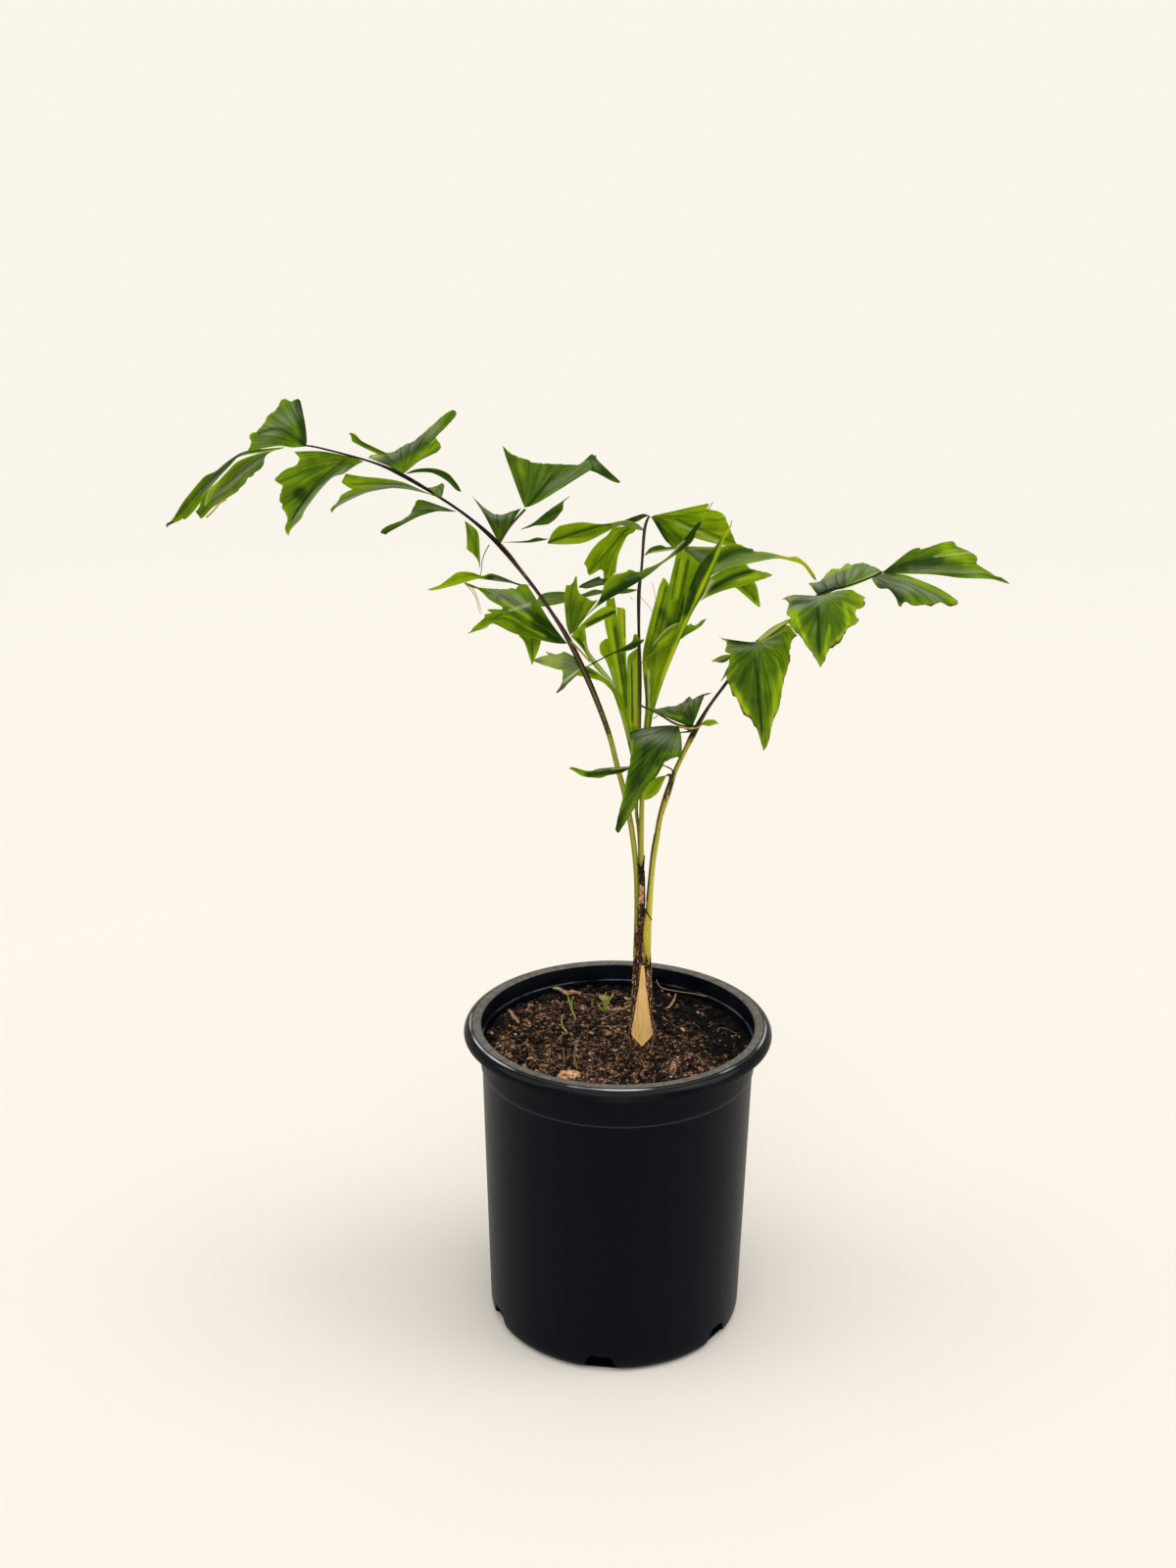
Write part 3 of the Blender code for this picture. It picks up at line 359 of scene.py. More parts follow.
def finish_of(name, values):
    """New material with values on its shader's own sockets: the material, its tree and its Object coordinates."""
    made = bpy.data.materials.new(name)
    made.use_nodes = True
    for socket, value in values.items():
        made.node_tree.nodes["Principled BSDF"].inputs[socket].default_value = value
    return made, made.node_tree, add(made.node_tree, "TexCoord", output="Object")


def fed(made, links):
    """Leads sockets into those of the material's shader."""
    for name, value in links.items():
        made.node_tree.links.new(value, made.node_tree.nodes["Principled BSDF"].inputs[name])
    return made


def tones(tree):
    """The four channels of the tone attribute."""
    paint = add(tree, "Attribute", attribute_name="tone").node
    return (*add(tree, "SeparateColor", (paint.outputs["Color"],)).node.outputs, paint.outputs["Alpha"])


def layered(tree, body, *coats):
    """Colour with coats over it, each a share and its own colour."""
    for share, coat in coats:
        body = add(tree, "Mix", {0: share, 6: body, 7: coat}, 2, data_type="RGBA")
    return body


def varied(tree, value, *waves):
    """Value with grain added, each wave as (grain, low, high, force)."""
    for marks, low, high, force in waves:
        share = add(tree, "MapRange", (marks, low, high))
        value = add(tree, "Math", (share, force, value), operation="MULTIPLY_ADD")
    return value


def band(tree, value, rise, fall, most=1.0):
    """Share that grows over rise and fades over fall, both in millimetres of value."""
    grown = add(tree, "MapRange", (value, rise[0] * MM, rise[1] * MM, 0.0, most))
    faded = add(tree, "MapRange", (value, fall[0] * MM, fall[1] * MM))
    return add(tree, "Math", (grown, faded), operation="MULTIPLY")


def grain(tree, coordinates, stretch, detail=2.0, roughness=0.5):
    """Noise on stretched coordinates; stretch is features per unit on each axis."""
    place = add(tree, "Mapping", {"Vector": coordinates, "Scale": stretch})
    return add(tree, "TexNoise", {"Vector": place, "Scale": 1.0, "Detail": detail, "Roughness": roughness})


def per_mm(*counts):
    """Features in each millimetre as features in each metre."""
    return tuple(count / MM for count in counts)


def leaf_blade():
    """Palm leaflet: fine parallel veins, a wax-coated surface that shines softly, thin tissue, and painted light,
    shade and sheen in its tones.
    """
    leaf = bpy.context.scene.palm_leaf
    made, tree, place = finish_of("palm_leaflet", {
        "IOR": 1.45, "Specular IOR Level": 0.07, "Subsurface Weight": 0.15,
        "Subsurface Radius": (0.5, 1.0, 0.15), "Subsurface Scale": 1.2 * MM})
    lightness, bloom, dry, rib = tones(tree)
    # The UV map's first axis is 100 mm a unit at the outer edge and its second runs from base to tip
    uv = add(tree, "UVMap")
    fine = add(tree, "Math", (grain(tree, uv, (0.1 / leaf.vein_pitch, 2.0, 1.0), 1.0), 0.5), operation="MULTIPLY")
    coarse = add(tree, "Math", (grain(tree, uv, (22.0, 0.8, 1.0), 1.0), 0.5), operation="MULTIPLY")
    veins = add(tree, "Math", (fine, coarse), operation="ADD")
    patches = grain(tree, place, per_mm(0.07, 0.07, 0.07), 2.0)
    light = varied(tree, lightness, (veins, 0.35, 0.65, 0.26), (patches, 0.3, 0.7, 0.2))
    light = add(tree, "Math", (light, 0.23), operation="SUBTRACT")
    # Wax bloom and painted sheen, thinner between the veins
    bloom_sheen_share = add(tree, "Math", (bloom, add(tree, "MapRange", (veins, 0.4, 0.6, 0.35, 1.0))), operation="MULTIPLY")
    dark_rib = add(tree, "Math", (add(tree, "MapRange", (rib, 0.5, 1.0)), 0.85), operation="MULTIPLY")
    body = layered(
        tree, leaf.deep,
        (add(tree, "MapRange", (light, 0.0, 0.33)), leaf.fresh),
        (add(tree, "MapRange", (light, 0.33, 0.66)), leaf.lit),
        (add(tree, "MapRange", (light, 0.66, 1.0)), leaf.yellow),
        (bloom_sheen_share, leaf.bloom), (dark_rib, linear("#1a2a06")),
        # Pale lines: partly pale scratches, partly painted highlights on folds and crests
        (add(tree, "MapRange", (rib, 0.5, 0.0)), linear("#c9cf8a")),
        (add(tree, "MapRange", (dry, 0.25, 0.75)), leaf.burnt))
    return fed(made, {
        "Base Color": body, "Roughness": add(tree, "MapRange", (veins, 0.3, 0.7, 0.48, 0.36)),
        "Normal": add(tree, "Bump", {"Height": veins, "Distance": 0.25 * MM})})


def leaf_stalk():
    """Palm stalk: smooth green skin, brown mottling, and dark papery upper parts with a pale stripe that is a painted
    highlight.
    """
    stalk = bpy.context.scene.palm_stalk
    made, tree, place = finish_of("palm_stalk", {"Specular IOR Level": 0.15})
    dark, mottled, golden, pale = tones(tree)
    scurf = grain(tree, place, per_mm(0.75, 0.75, 0.16), 3.0, 0.6)
    fleck = grain(tree, place, per_mm(1.6, 1.6, 0.7), 1.0)
    threshold = add(tree, "Math", (1.0, mottled), operation="SUBTRACT")
    mottle = add(tree, "Math", (add(tree, "MapRange", (scurf, 0.3, 0.7)), threshold), operation="GREATER_THAN")
    specks = add(tree, "Math", (dark, add(tree, "MapRange", (fleck, 0.66, 0.74, 0.0, 0.25))), operation="MULTIPLY")
    # The pale coat on top is the painted highlight down the stalk's front
    body = layered(
        tree, stalk.green, (add(tree, "MapRange", (scurf, 0.3, 0.7)), linear("#b8b440")), (golden, stalk.gold),
        (mottle, linear("#4a2f1a")), (dark, stalk.dark), (specks, linear("#94734f")), (pale, stalk.pale))
    return fed(made, {
        "Base Color": body, "Roughness": add(tree, "MapRange", (dark, 0.0, 1.0, 0.42, 0.68)),
        "Normal": add(tree, "Bump", {"Height": scurf, "Distance": 0.2 * MM})})


def away_from_middle(tree, place):
    """Distance from the pot's axis."""
    flat = add(tree, "VectorMath", (place, (1, 1, 0)), operation="MULTIPLY")
    return add(tree, "VectorMath", (flat,), "Value", operation="LENGTH")


def moulded_plastic():
    """Injection-moulded polypropylene: satin black with a faint grain, a trace of dried soil, and painted highlights
    along a step below the rim outside and a step inside it.
    """
    pot = bpy.context.scene.palm_pot
    made, tree, place = finish_of("moulded_polypropylene", {"IOR": 1.49, "Specular IOR Level": 0.06})
    height = add(tree, "SeparateXYZ", (place,), "Z")
    smear = grain(tree, place, per_mm(0.03, 0.03, 0.06), 4.0, 0.6)
    scuff = grain(tree, place, per_mm(0.5, 0.5, 0.06), 3.0, 0.6)
    speck = grain(tree, place, per_mm(0.9, 0.9, 0.9), 2.0)
    rim = add(tree, "MapRange", (height, 195 * MM, 231 * MM))
    foot = add(tree, "MapRange", (height, 14 * MM, 0.0, 0.0, 0.5))
    ends = add(tree, "Math", (rim, foot), operation="ADD")
    dusty = add(tree, "Math", (ends, add(tree, "MapRange", (smear, 0.42, 0.7, 0.0, 0.22))), operation="MULTIPLY")
    speckled = add(tree, "Math", (rim, 0.5, 0.1), operation="MULTIPLY_ADD")
    specks = add(tree, "Math", (add(tree, "MapRange", (speck, 0.68, 0.74)), speckled), operation="MULTIPLY")
    # Painted highlights: the collar's lower edge and the ledge inside the rim are painted a little paler, the ledge
    # only in patches
    collar_highlight = band(tree, height, (196.2, 197), (198.6, 197.6), 0.14)
    inside = add(tree, "MapRange", (away_from_middle(tree, place), 98.1 * MM, 97.8 * MM))
    ledge_highlight = band(tree, height, (216.7, 217), (217.9, 217.5))
    ledge_highlight = add(tree, "Math", (ledge_highlight, inside), operation="MULTIPLY")
    ledge_highlight = add(tree, "Math", (ledge_highlight, add(tree, "MapRange", (smear, 0.42, 0.6, 0.0, 0.55))), operation="MULTIPLY")
    body = layered(
        tree, pot.plastic, (add(tree, "Math", (dusty, specks), operation="MAXIMUM"), pot.dust),
        (add(tree, "Math", (collar_highlight, ledge_highlight), operation="MAXIMUM"), linear("#6c737c")))
    # Real mould grain is about 0.1 mm; it is drawn at 1 mm so that it can show
    mould = grain(tree, place, per_mm(1.0, 1.0, 1.0), 2.0)
    return fed(made, {
        "Base Color": body, "Roughness": add(tree, "MapRange", (scuff, 0.3, 0.7, 0.42, 0.34)),
        "Normal": add(tree, "Bump", {"Height": mould, "Distance": 0.04 * MM})})


def scuffed_highlit_rim():
    """The pot's rim: the same plastic, with a painted highlight along its rounded edge, and scuffed to a warm grey on
    top that also stands in for painted reflection of the light above.
    """
    made, tree, place = finish_of("worn_polypropylene", {"IOR": 1.49, "Specular IOR Level": 0.16})
    away = away_from_middle(tree, place)
    scuff = grain(tree, place, per_mm(0.25, 0.25, 0.25), 3.0, 0.7)
    patch = grain(tree, place, per_mm(0.018, 0.018, 0.018), 2.0)
    top = add(tree, "MapRange", (away, 104.4 * MM, 103.4 * MM))
    # Warm grey on the flat top: scuffs, and also painted reflection of the light above
    worn = layered(tree, linear("#4b4944"), (add(tree, "MapRange", (scuff, 0.3, 0.7)), linear("#74716a")))
    # Painted highlight: a pale line where the lip begins to turn down, broken in places
    line = band(tree, away, (104.6, 105.1), (106.3, 105.7))
    line = add(tree, "Math", (line, add(tree, "MapRange", (patch, 0.46, 0.58, 0.05, 1.0))), operation="MULTIPLY")
    return fed(made, {
        "Base Color": layered(tree, linear("#010204"), (line, linear("#b4bac0")), (top, worn)),
        "Roughness": add(tree, "MapRange", (top, 0.0, 1.0, 0.2, 0.45))})


def potting_mix():
    """Peat and composted bark: dull and crumbly, with painted shade in its hollows and painted light on its crumbs.
    """
    soil = bpy.context.scene.palm_soil
    made, tree, place = finish_of("potting_mix", {"Roughness": 0.95, "Specular IOR Level": 0.2})
    lightness, chips, _, _ = tones(tree)
    clod = grain(tree, place, per_mm(0.12, 0.12, 0.12), 3.0, 0.6)
    lump = grain(tree, place, per_mm(0.3, 0.3, 0.3), 3.0, 0.7)
    # Peat fibres are finer than this, about 0.3 mm; they are drawn at 1 to 2 mm so that they show
    fine = grain(tree, place, per_mm(0.6, 0.6, 0.6), 3.0, 0.8)
    light = varied(tree, lightness, (clod, 0.35, 0.65, 0.35), (lump, 0.38, 0.62, 0.55), (fine, 0.38, 0.62, 0.75))
    body = layered(
        tree, soil.dark, (add(tree, "MapRange", (light, 0.9, 1.95)), soil.light), (chips, soil.chip),
        (add(tree, "MapRange", (light, 1.65, 1.85)), soil.chip))
    return fed(made, {"Base Color": body, "Normal": add(tree, "Bump", {"Height": fine, "Distance": 0.5 * MM})})


def matted_fibre():
    """Old leaf bases worn down to brown fibre: dry and stringy, with painted shade between the strands."""
    stalk = bpy.context.scene.palm_stalk
    made, tree, place = finish_of("matted_fibre", {"Roughness": 0.9, "Specular IOR Level": 0.25})
    tone = tones(tree)[0]
    strands = grain(tree, place, per_mm(0.7, 0.7, 0.4), 3.0, 0.8)
    blotch = grain(tree, place, per_mm(0.12, 0.12, 0.07), 2.0)
    light = varied(tree, tone, (strands, 0.4, 0.6, 1.0), (blotch, 0.35, 0.65, 0.4))
    # Tone above 1 is a strip of old stalk that shows through, straw yellow
    bare = layered(tree, linear("#6f5c2c"), (add(tree, "MapRange", (strands, 0.4, 0.65)), linear("#d2b98a")))
    # The darkest colour is the black of the hairs, and also painted shade between the strands and the painted shadow
    # beside the sheath
    body = layered(
        tree, linear("#0e0603"), (add(tree, "MapRange", (light, 0.9, 1.7)), stalk.fibre),
        (add(tree, "MapRange", (light, 1.6, 1.85)), linear("#d6ae82")),
        (add(tree, "MapRange", (tone, 1.2, 1.7)), bare))
    return fed(made, {"Base Color": body, "Normal": add(tree, "Bump", {"Height": strands, "Distance": 0.4 * MM})})


def plain_finish(name, light, dark, stretch, roughness=0.85, depth=0.2):
    """Dry plant matter: two tones in a stretched grain, with relief depth in millimetres."""
    made, tree, place = finish_of(name, {"Roughness": roughness})
    marks = grain(tree, place, stretch, 3.0, 0.6)
    return fed(made, {
        "Base Color": layered(tree, dark, (add(tree, "MapRange", (marks, 0.35, 0.65)), light)),
        "Normal": add(tree, "Bump", {"Height": marks, "Distance": depth * MM})})


def shared(build, name):
    """One material for all the pieces that share it."""
    return bpy.data.materials.get(name) or build()


# Half section of the pot as (radius, height), from its inner floor over the rim to its outer floor
POT_SECTION = [
    (6, 2), (40, 2), (70, 2), (86.5, 2), (88.2, 2.25), (89.6, 2.9), (90.3, 4.1), (91.2, 45), (92.4, 95),
    (93.6, 145), (94.9, 193), (95.0, 195.5), (95.3, 197), (95.8, 198.5), (96.1, 205), (96.6, 216.9),
    (97.0, 217.3), (97.5, 217.5), (97.5, 222), (97.5, 228.5), (97.7, 229.3), (98.2, 229.95), (99.2, 230.35),
    (101, 230.4), (103.6, 230.3), (105.2, 229.8), (106.8, 229), (108.2, 227.9), (109.2, 226.6), (109.8, 225.2),
    (110, 224), (110, 223.1), (109.85, 222.6), (109.4, 222.4), (108.9, 222.4), (108.6, 222.7), (108.4, 225),
    (108.2, 227.7), (107.6, 228.2), (104, 228.4), (99.6, 228.4), (98.9, 227.9), (98.6, 226), (98.6, 222),
    (98.4, 212), (98.1, 202), (97.95, 197.9), (97.6, 197.2), (97.1, 196.8), (97.0, 195.5), (95.8, 145),
    (94.6, 95), (93.4, 50), (92.7, 20), (92.3, 7.6), (91.7, 4.7), (90.1, 2.3), (87.6, 0.65), (84.7, 0.05),
    (82, 0), (60, 0), (30, 0), (6, 0)]
SECTION_RADIUS, SECTION_HEIGHT = 110, 230.4
# The part of the rim with its own finish, scuffed and with a painted highlight: how far it reaches down from its top
# and in from its edge
RIM_FINISH_DOWN, RIM_FINISH_IN = 3.5, 12.3
# Drainage openings: their number, where the first stands in degrees from the front, half widths and heights
# at the foot and the top, depths outside and inside the wall, and the radius of their upper corners
DRAINS = 6
DRAIN_TURN = -7.0
DRAIN_FOOT, DRAIN_TOP = (16.4, -5), (6.4, 14)
DRAIN_OUTSIDE, DRAIN_INSIDE = -97.3, -87
DRAIN_CORNER = 3.2


class PALM_OT_nursery_pot(bpy.types.Operator):
    """Moulds the pot: a circle drawn out along its section, with openings cut round the foot"""
    bl_idname = "palm.nursery_pot"
    bl_label = "Nursery pot"

    def execute(self, context):
        pot = context.scene.palm_pot
        widen = pot.rim_radius / MM / SECTION_RADIUS
        heighten = pot.height / MM / SECTION_HEIGHT
        section = [(r * widen * MM, z * heighten * MM) for r, z in POT_SECTION]
        deselect()
        bpy.ops.mesh.primitive_circle_add(
            vertices=pot.facets, radius=section[0][0], fill_type="NOTHING", location=(0, 0, section[0][1]))
        made = context.view_layer.objects.active
        bpy.ops.object.transform_apply(location=True, rotation=False, scale=False)
        bpy.ops.object.mode_set(mode="EDIT")
        bpy.ops.mesh.select_all(action="SELECT")
        for (r, z), (wide, high) in zip(section, section[1:]):
            bpy.ops.mesh.extrude_region_move(TRANSFORM_OT_translate={"value": (0, 0, high - z)})
            bpy.ops.transform.resize(value=(wide / r, wide / r, 1), center_override=(0, 0, high))
        bpy.ops.mesh.edge_face_add()
        bpy.ops.mesh.select_all(action="DESELECT")
        bpy.ops.mesh.select_non_manifold()
        bpy.ops.mesh.edge_face_add()
        bpy.ops.mesh.select_all(action="SELECT")
        outward()
        bpy.ops.object.mode_set(mode="OBJECT")
        for number in range(DRAINS):
            self.cut_drain(made, DRAIN_TURN + number * 360 / DRAINS)
        made.name = made.data.name = "nursery_pot"
        settle(made, shared(moulded_plastic, "moulded_polypropylene"), ("pot",), angle=38)
        made.data.materials.append(shared(scuffed_highlit_rim, "worn_polypropylene"))
        for face in made.data.polygons:
            away = math.hypot(*face.center[:2])
            if face.center.z > pot.height - RIM_FINISH_DOWN * MM and away > pot.rim_radius - RIM_FINISH_IN * MM:
                face.material_index = 1
        return {"FINISHED"}

    def cut_drain(self, pot, turn):
        """One opening: a tapered block with soft upper corners, taken out of the wall and the floor."""
        deselect()
        bpy.ops.mesh.primitive_cube_add(size=1)
        block = bpy.context.view_layer.objects.active
        for corner in block.data.vertices:
            half, height = DRAIN_TOP if corner.co.z > 0 else DRAIN_FOOT
            depth = DRAIN_OUTSIDE if corner.co.y < 0 else DRAIN_INSIDE
            corner.co = Vector((math.copysign(half, corner.co.x), depth, height)) * MM
        bpy.ops.object.mode_set(mode="EDIT")
        bpy.ops.mesh.select_mode(type="EDGE")
        bpy.ops.mesh.select_all(action="DESELECT")
        bpy.ops.object.mode_set(mode="OBJECT")
        for edge in block.data.edges:
            a, b = (block.data.vertices[k].co for k in edge.vertices)
            edge.select = min(a.z, b.z) > 0 and abs(a.y - b.y) > 1 * MM
        bpy.ops.object.mode_set(mode="EDIT")
        bpy.ops.mesh.bevel(offset=DRAIN_CORNER * MM, segments=5)
        bpy.ops.object.mode_set(mode="OBJECT")
        block.rotation_euler = (0, 0, math.radians(turn))
        bpy.ops.object.transform_apply(location=False, rotation=True, scale=False)
        apply(pot, "BOOLEAN", operation="DIFFERENCE", solver="EXACT", object=block)
        remove(block)


def soil_height(x, y):
    """Height of the soil at a place, as in the solid: a low mound at the stem and slow waves."""
    mound = 2.2 * np.exp(-(np.hypot(x - STEM_X, y - STEM_Y) / 30) ** 2)
    return (SOIL_LEVEL + mound + np.sin(0.21 * x + 0.17 * y + 0.3) + 0.8 * np.sin(0.37 * x + 0.23 * y + 1.1)
            + 0.6 * np.sin(-0.52 * x + 0.31 * y))


def painted_wall_shade(x, y):
    """Painted shade of the pot's wall on the soil, from 0 to 1: more at the back on the right and close to the wall.
    """
    return smooth(25, 95, 0.8 * x + 0.6 * y) + 0.4 * smooth(82, 95, np.hypot(x, y))


# How much darker the painted wall shade makes the soil, as a step of its tone
WALL_SHADE_STEP = 1.1
# How far from the middle loose litter lies and its fibres start, and the room left round the stem's middle
LITTER_REACH, FIBRE_REACH, STEM_ROOM = 94, 90, 8.5
# Numbers of bark chips, of small perlite grains and of loose fibres
CHIPS, SMALL_PERLITE, FIBRES = 90, 9, 150


def crumbly(x, y):
    """Relief of the soil's surface: clumps of several sizes with deeper gaps between them."""
    out = np.empty(x.shape)
    flat = out.ravel()
    for k, (a, b) in enumerate(zip(x.ravel(), y.ravel())):
        far = noise.voronoi(Vector((a / 7.5, b / 7.5, 0.3)))[0]
        near = noise.voronoi(Vector((a / 2.6, b / 2.6, 2.7)))[0]
        flat[k] = (1.5 * min(far[1] - far[0], 0.5) + 1.6 * min(near[1] - near[0], 0.5)
                   + 0.9 * noise.noise(Vector((a / 11, b / 11, 5.0))) + 0.35 * noise.noise(Vector((a, b, 1.0))))
    return out - 0.9


def crumb_shape(seed, facets):
    """Small lump with broken corners, one millimetre in half length."""
    deselect()
    bpy.ops.mesh.primitive_ico_sphere_add(subdivisions=facets, radius=1 * MM)
    made = bpy.context.view_layer.objects.active
    draw = random.Random(seed)
    for corner in made.data.vertices:
        corner.co *= draw.uniform(0.68, 1.15)
    made.data.attributes.new("tone", "FLOAT_COLOR", "POINT")
    return made


def random_spot(draw, reach):
    """Random place on the soil, spread evenly up to reach from its middle."""
    away, turn = reach * math.sqrt(draw.random()), draw.uniform(0, TURN)
    return away * math.sin(turn), away * math.cos(turn)


def scattered(shapes, number, draw, half, spread, flat, paint):
    """Copies of the shapes laid at random in the soil's surface, each turned and sized its own way."""
    out = []
    for _ in range(number):
        x, y = random_spot(draw, LITTER_REACH)
        grow = half * math.exp(draw.gauss(0, spread))
        if math.hypot(x - STEM_X, y - STEM_Y) < STEM_ROOM + grow:
            continue
        made = copied(draw.choice(shapes))
        z = float(soil_height(x, y)) + draw.uniform(0.0, 0.5) * grow
        stretch = Matrix.Diagonal((grow * draw.uniform(0.8, 1.5), grow, grow * draw.uniform(*flat), 1))
        spin = Matrix.Rotation(draw.uniform(0, 6.3), 4, "Z") @ Matrix.Rotation(draw.gauss(0, 0.35), 4, "X")
        made.data.transform(Matrix.Translation(Vector((x, y, z)) * MM) @ spin @ stretch)
        tone = np.array(paint(draw))
        # Painted shade of the pot's wall on the crumbs
        tone[0] -= WALL_SHADE_STEP * painted_wall_shade(x, y)
        values = np.tile(tone, len(made.data.vertices))
        made.data.attributes["tone"].data.foreach_set("color", values.astype(np.float32))
        out.append(made)
    return out


def lay(name, pieces, finish, angle=35):
    """Joins pieces of the potting mix into one that stands for the soil."""
    settle(join(name, pieces), finish, ("soil",), angle)


# Sides and bottom of the root ball as (radius, height)
BALL_BELOW = [(SOIL_RADIUS, 210), (SOIL_RADIUS, 204), (SOIL_RADIUS, 200.4), (94.6, 195.9), (92.2, 100),
              (89.9, 12.9), (79.4, 2.4), (40, 2.4), (0, 2.4)]
# The larger white grains, where the photograph shows them: (x, y)
PERLITE = [(-74, 11), (-20, -30), (42, -24), (60, 44), (36, -55), (-84, -8)]
# Dry roots that lie on the soil or stand up from it: (x, y, z, radius)
ROOTS = [
    [(30.5, 86.0, 222.4, 0.35), (34.6, 85.0, 216.4, 0.35), (47.9, 82.0, 214.6, 0.3), (58.1, 77.0, 215.4, 0.3),
     (67.7, 66.0, 218.1, 0.3)],
    [(-6.7, 54.0, 212.7, 0.6), (2.0, 50.0, 214.2, 0.8), (10.5, 44.0, 220.7, 0.7)],
    [(5.7, 55.0, 216.3, 0.4), (9.3, 54.0, 220.0, 0.4), (12.5, 40.0, 232.1, 0.4)],
    [(25.0, 42.0, 218.6, 0.5), (30.2, 44.0, 214.5, 0.6), (36.4, 34.0, 213.8, 0.4)]]


class PALM_OT_potting_soil(bpy.types.Operator):
    """Fills the pot: the root ball, its crumbly top and the loose crumbs, chips, fibres and perlite on it"""
    bl_idname = "palm.potting_soil"
    bl_label = "Potting soil"

    def execute(self, context):
        soil = context.scene.palm_soil
        turn = np.linspace(0, TURN, 281)
        rings = np.concatenate([np.linspace(0, 95.3, 108), [SOIL_RADIUS]])
        x, y = rings[:, None] * np.sin(turn), rings[:, None] * np.cos(turn)
        bumps = crumbly(x, y)
        bumps[:, -1] = bumps[:, 0]
        z = soil_height(x, y) + bumps * smooth(96.2, 92, rings)[:, None]
        top = np.stack([x, y, z], axis=-1)
        under = np.array([[(r * math.sin(a), r * math.cos(a), h) for a in turn] for r, h in BALL_BELOW])
        points = np.concatenate([top, under])
        tone = np.zeros(points.shape[:2] + (4,))
        # Painted light and shade: the relief's hollows darker and its tops lighter, with the wall's painted shade
        # taken off
        tone[:len(rings), :, 0] = 0.3 + bumps * 0.7 - WALL_SHADE_STEP * painted_wall_shade(x, y)
        finish = shared(potting_mix, "potting_mix")
        lay("root_ball", [closed_grid("ball", points, None, tone)], finish, 60)

        draw = random.Random(4)
        small = [crumb_shape(seed, 1) for seed in range(4)]
        large = [crumb_shape(seed, 2) for seed in range(4, 8)]
        grit = soil.crumb_size / MM
        loose = scattered(large, soil.clumps, draw, 2.1 * grit, 0.3, (0.5, 0.85),
                          lambda d: (d.uniform(-0.2, 0.6), 0.0, 0.0, 0.0))
        loose += scattered(small, soil.crumbs, draw, grit, 0.42, (0.5, 1.0),
                           lambda d: (d.uniform(-0.5, 0.9), max(0.0, d.gauss(-0.35, 0.35)), 0.0, 0.0))
        lay("soil_crumbs", loose, finish)
        lay("bark_chips", scattered(small, CHIPS, draw, 1.3, 0.35, (0.15, 0.4),
                                    lambda d: (0.3, d.uniform(0.1, 0.8), 0.0, 0.0)), finish)
        white = scattered(small, SMALL_PERLITE, draw, 0.7, 0.3, (0.7, 1.0), lambda d: (1.0, 1.0, 0.0, 0.0))
        for x, y in PERLITE:
            white.append(copied(small[0]))
            place = Matrix.Translation(Vector((x, y, float(soil_height(x, y)) + 1)) * MM)
            white[-1].data.transform(place @ Matrix.Diagonal((1.1, 1.1, 0.9, 1)))
        # Expanded perlite: chalky pale grains, stained brown by the peat
        lay("perlite_grains", white,
            plain_finish("perlite", linear("#e4d3bb"), linear("#b49c80"), per_mm(0.8, 0.8, 0.8)))
        self.lay_fibres(draw, finish)
        for shape in small + large:
            remove(shape)
        return {"FINISHED"}

    def lay_fibres(self, draw, finish):
        """Short dry fibres and root hairs that lie on the soil."""
        out = []
        for _ in range(FIBRES):
            x, y = random_spot(draw, FIBRE_REACH)
            heading = draw.uniform(0, 6.3)
            reach, bend, radius = draw.uniform(4, 13), draw.gauss(0, 0.5), draw.uniform(0.15, 0.35)
            route = []
            for k in range(4):
                px = x + reach * k / 3 * math.cos(heading + bend * k)
                py = y + reach * k / 3 * math.sin(heading + bend * k)
                if math.hypot(px, py) > LITTER_REACH:
                    break
                route.append((px, py, float(soil_height(px, py)) + 0.5 + 1.1 * radius, radius))
            if len(route) > 1:
                out.append(tube(route, 5, 3, paint=even_tone(draw.uniform(0.0, 0.7))))
        out += [tube(route, 6, 6, paint=even_tone(1.6)) for route in ROOTS]
        lay("soil_fibres", out, finish, 50)


# The stem's rows (x, y, z, radius): its column, the tuft that goes on from it, a prong of that, its black hairs
STEM = [(17, -8, 152, 7.6), (17, -8, 185, 8.2), (17, -8, 213, 8.4), (16.8, -8, 235, 7.9),
        (16.2, -8, 262, 6.3), (15.9, -8, 285, 5.3), (15.7, -8, 296, 4.8), (15.6, -8, 302, 3.8)]
STEM_FIBRE = [(15.5, -10.5, 284, 3.0), (14.2, -11.4, 300, 2.9), (14.8, -12.4, 312, 2.3), (15.4, -13, 325, 2.1),
              (15.0, -13.2, 338, 1.7), (14.6, -13.2, 345, 2.0), (14.1, -13.3, 350, 1.2), (12.8, -13.3, 353, 0.7),
              (11.8, -13.3, 355, 0.3)]
STEM_PRONG = [(14.6, -13.4, 342, 1.4), (15.4, -13.5, 350, 1.1), (16.0, -13.5, 355, 0.7), (16.6, -13.4, 361, 0.3)]
STEM_HAIRS = [(16.6, -14.4, 350, 0.3), (17.0, -14.4, 338, 0.4), (17.0, -14.4, 326, 0.5), (16.8, -14.4, 317, 0.5)]
CROSS_HAIR = [(16.4, -14.4, 323, 0.4), (18.7, -16.2, 320, 0.5), (20.8, -15.6, 316, 0.4), (22.6, -13.5, 313, 0.3)]
# Painted shadow beside the dry sheath: near-black bars where its edges shade the stem, as (z, angle from the front in
# radians, radius)
SHEATH_SHADOW_BARS = [(272, 0.3, 0.5), (258, 0.42, 0.7), (246, 0.6, 0.8), (236, 0.85, 0.8), (222, 1.1, 0.7)]
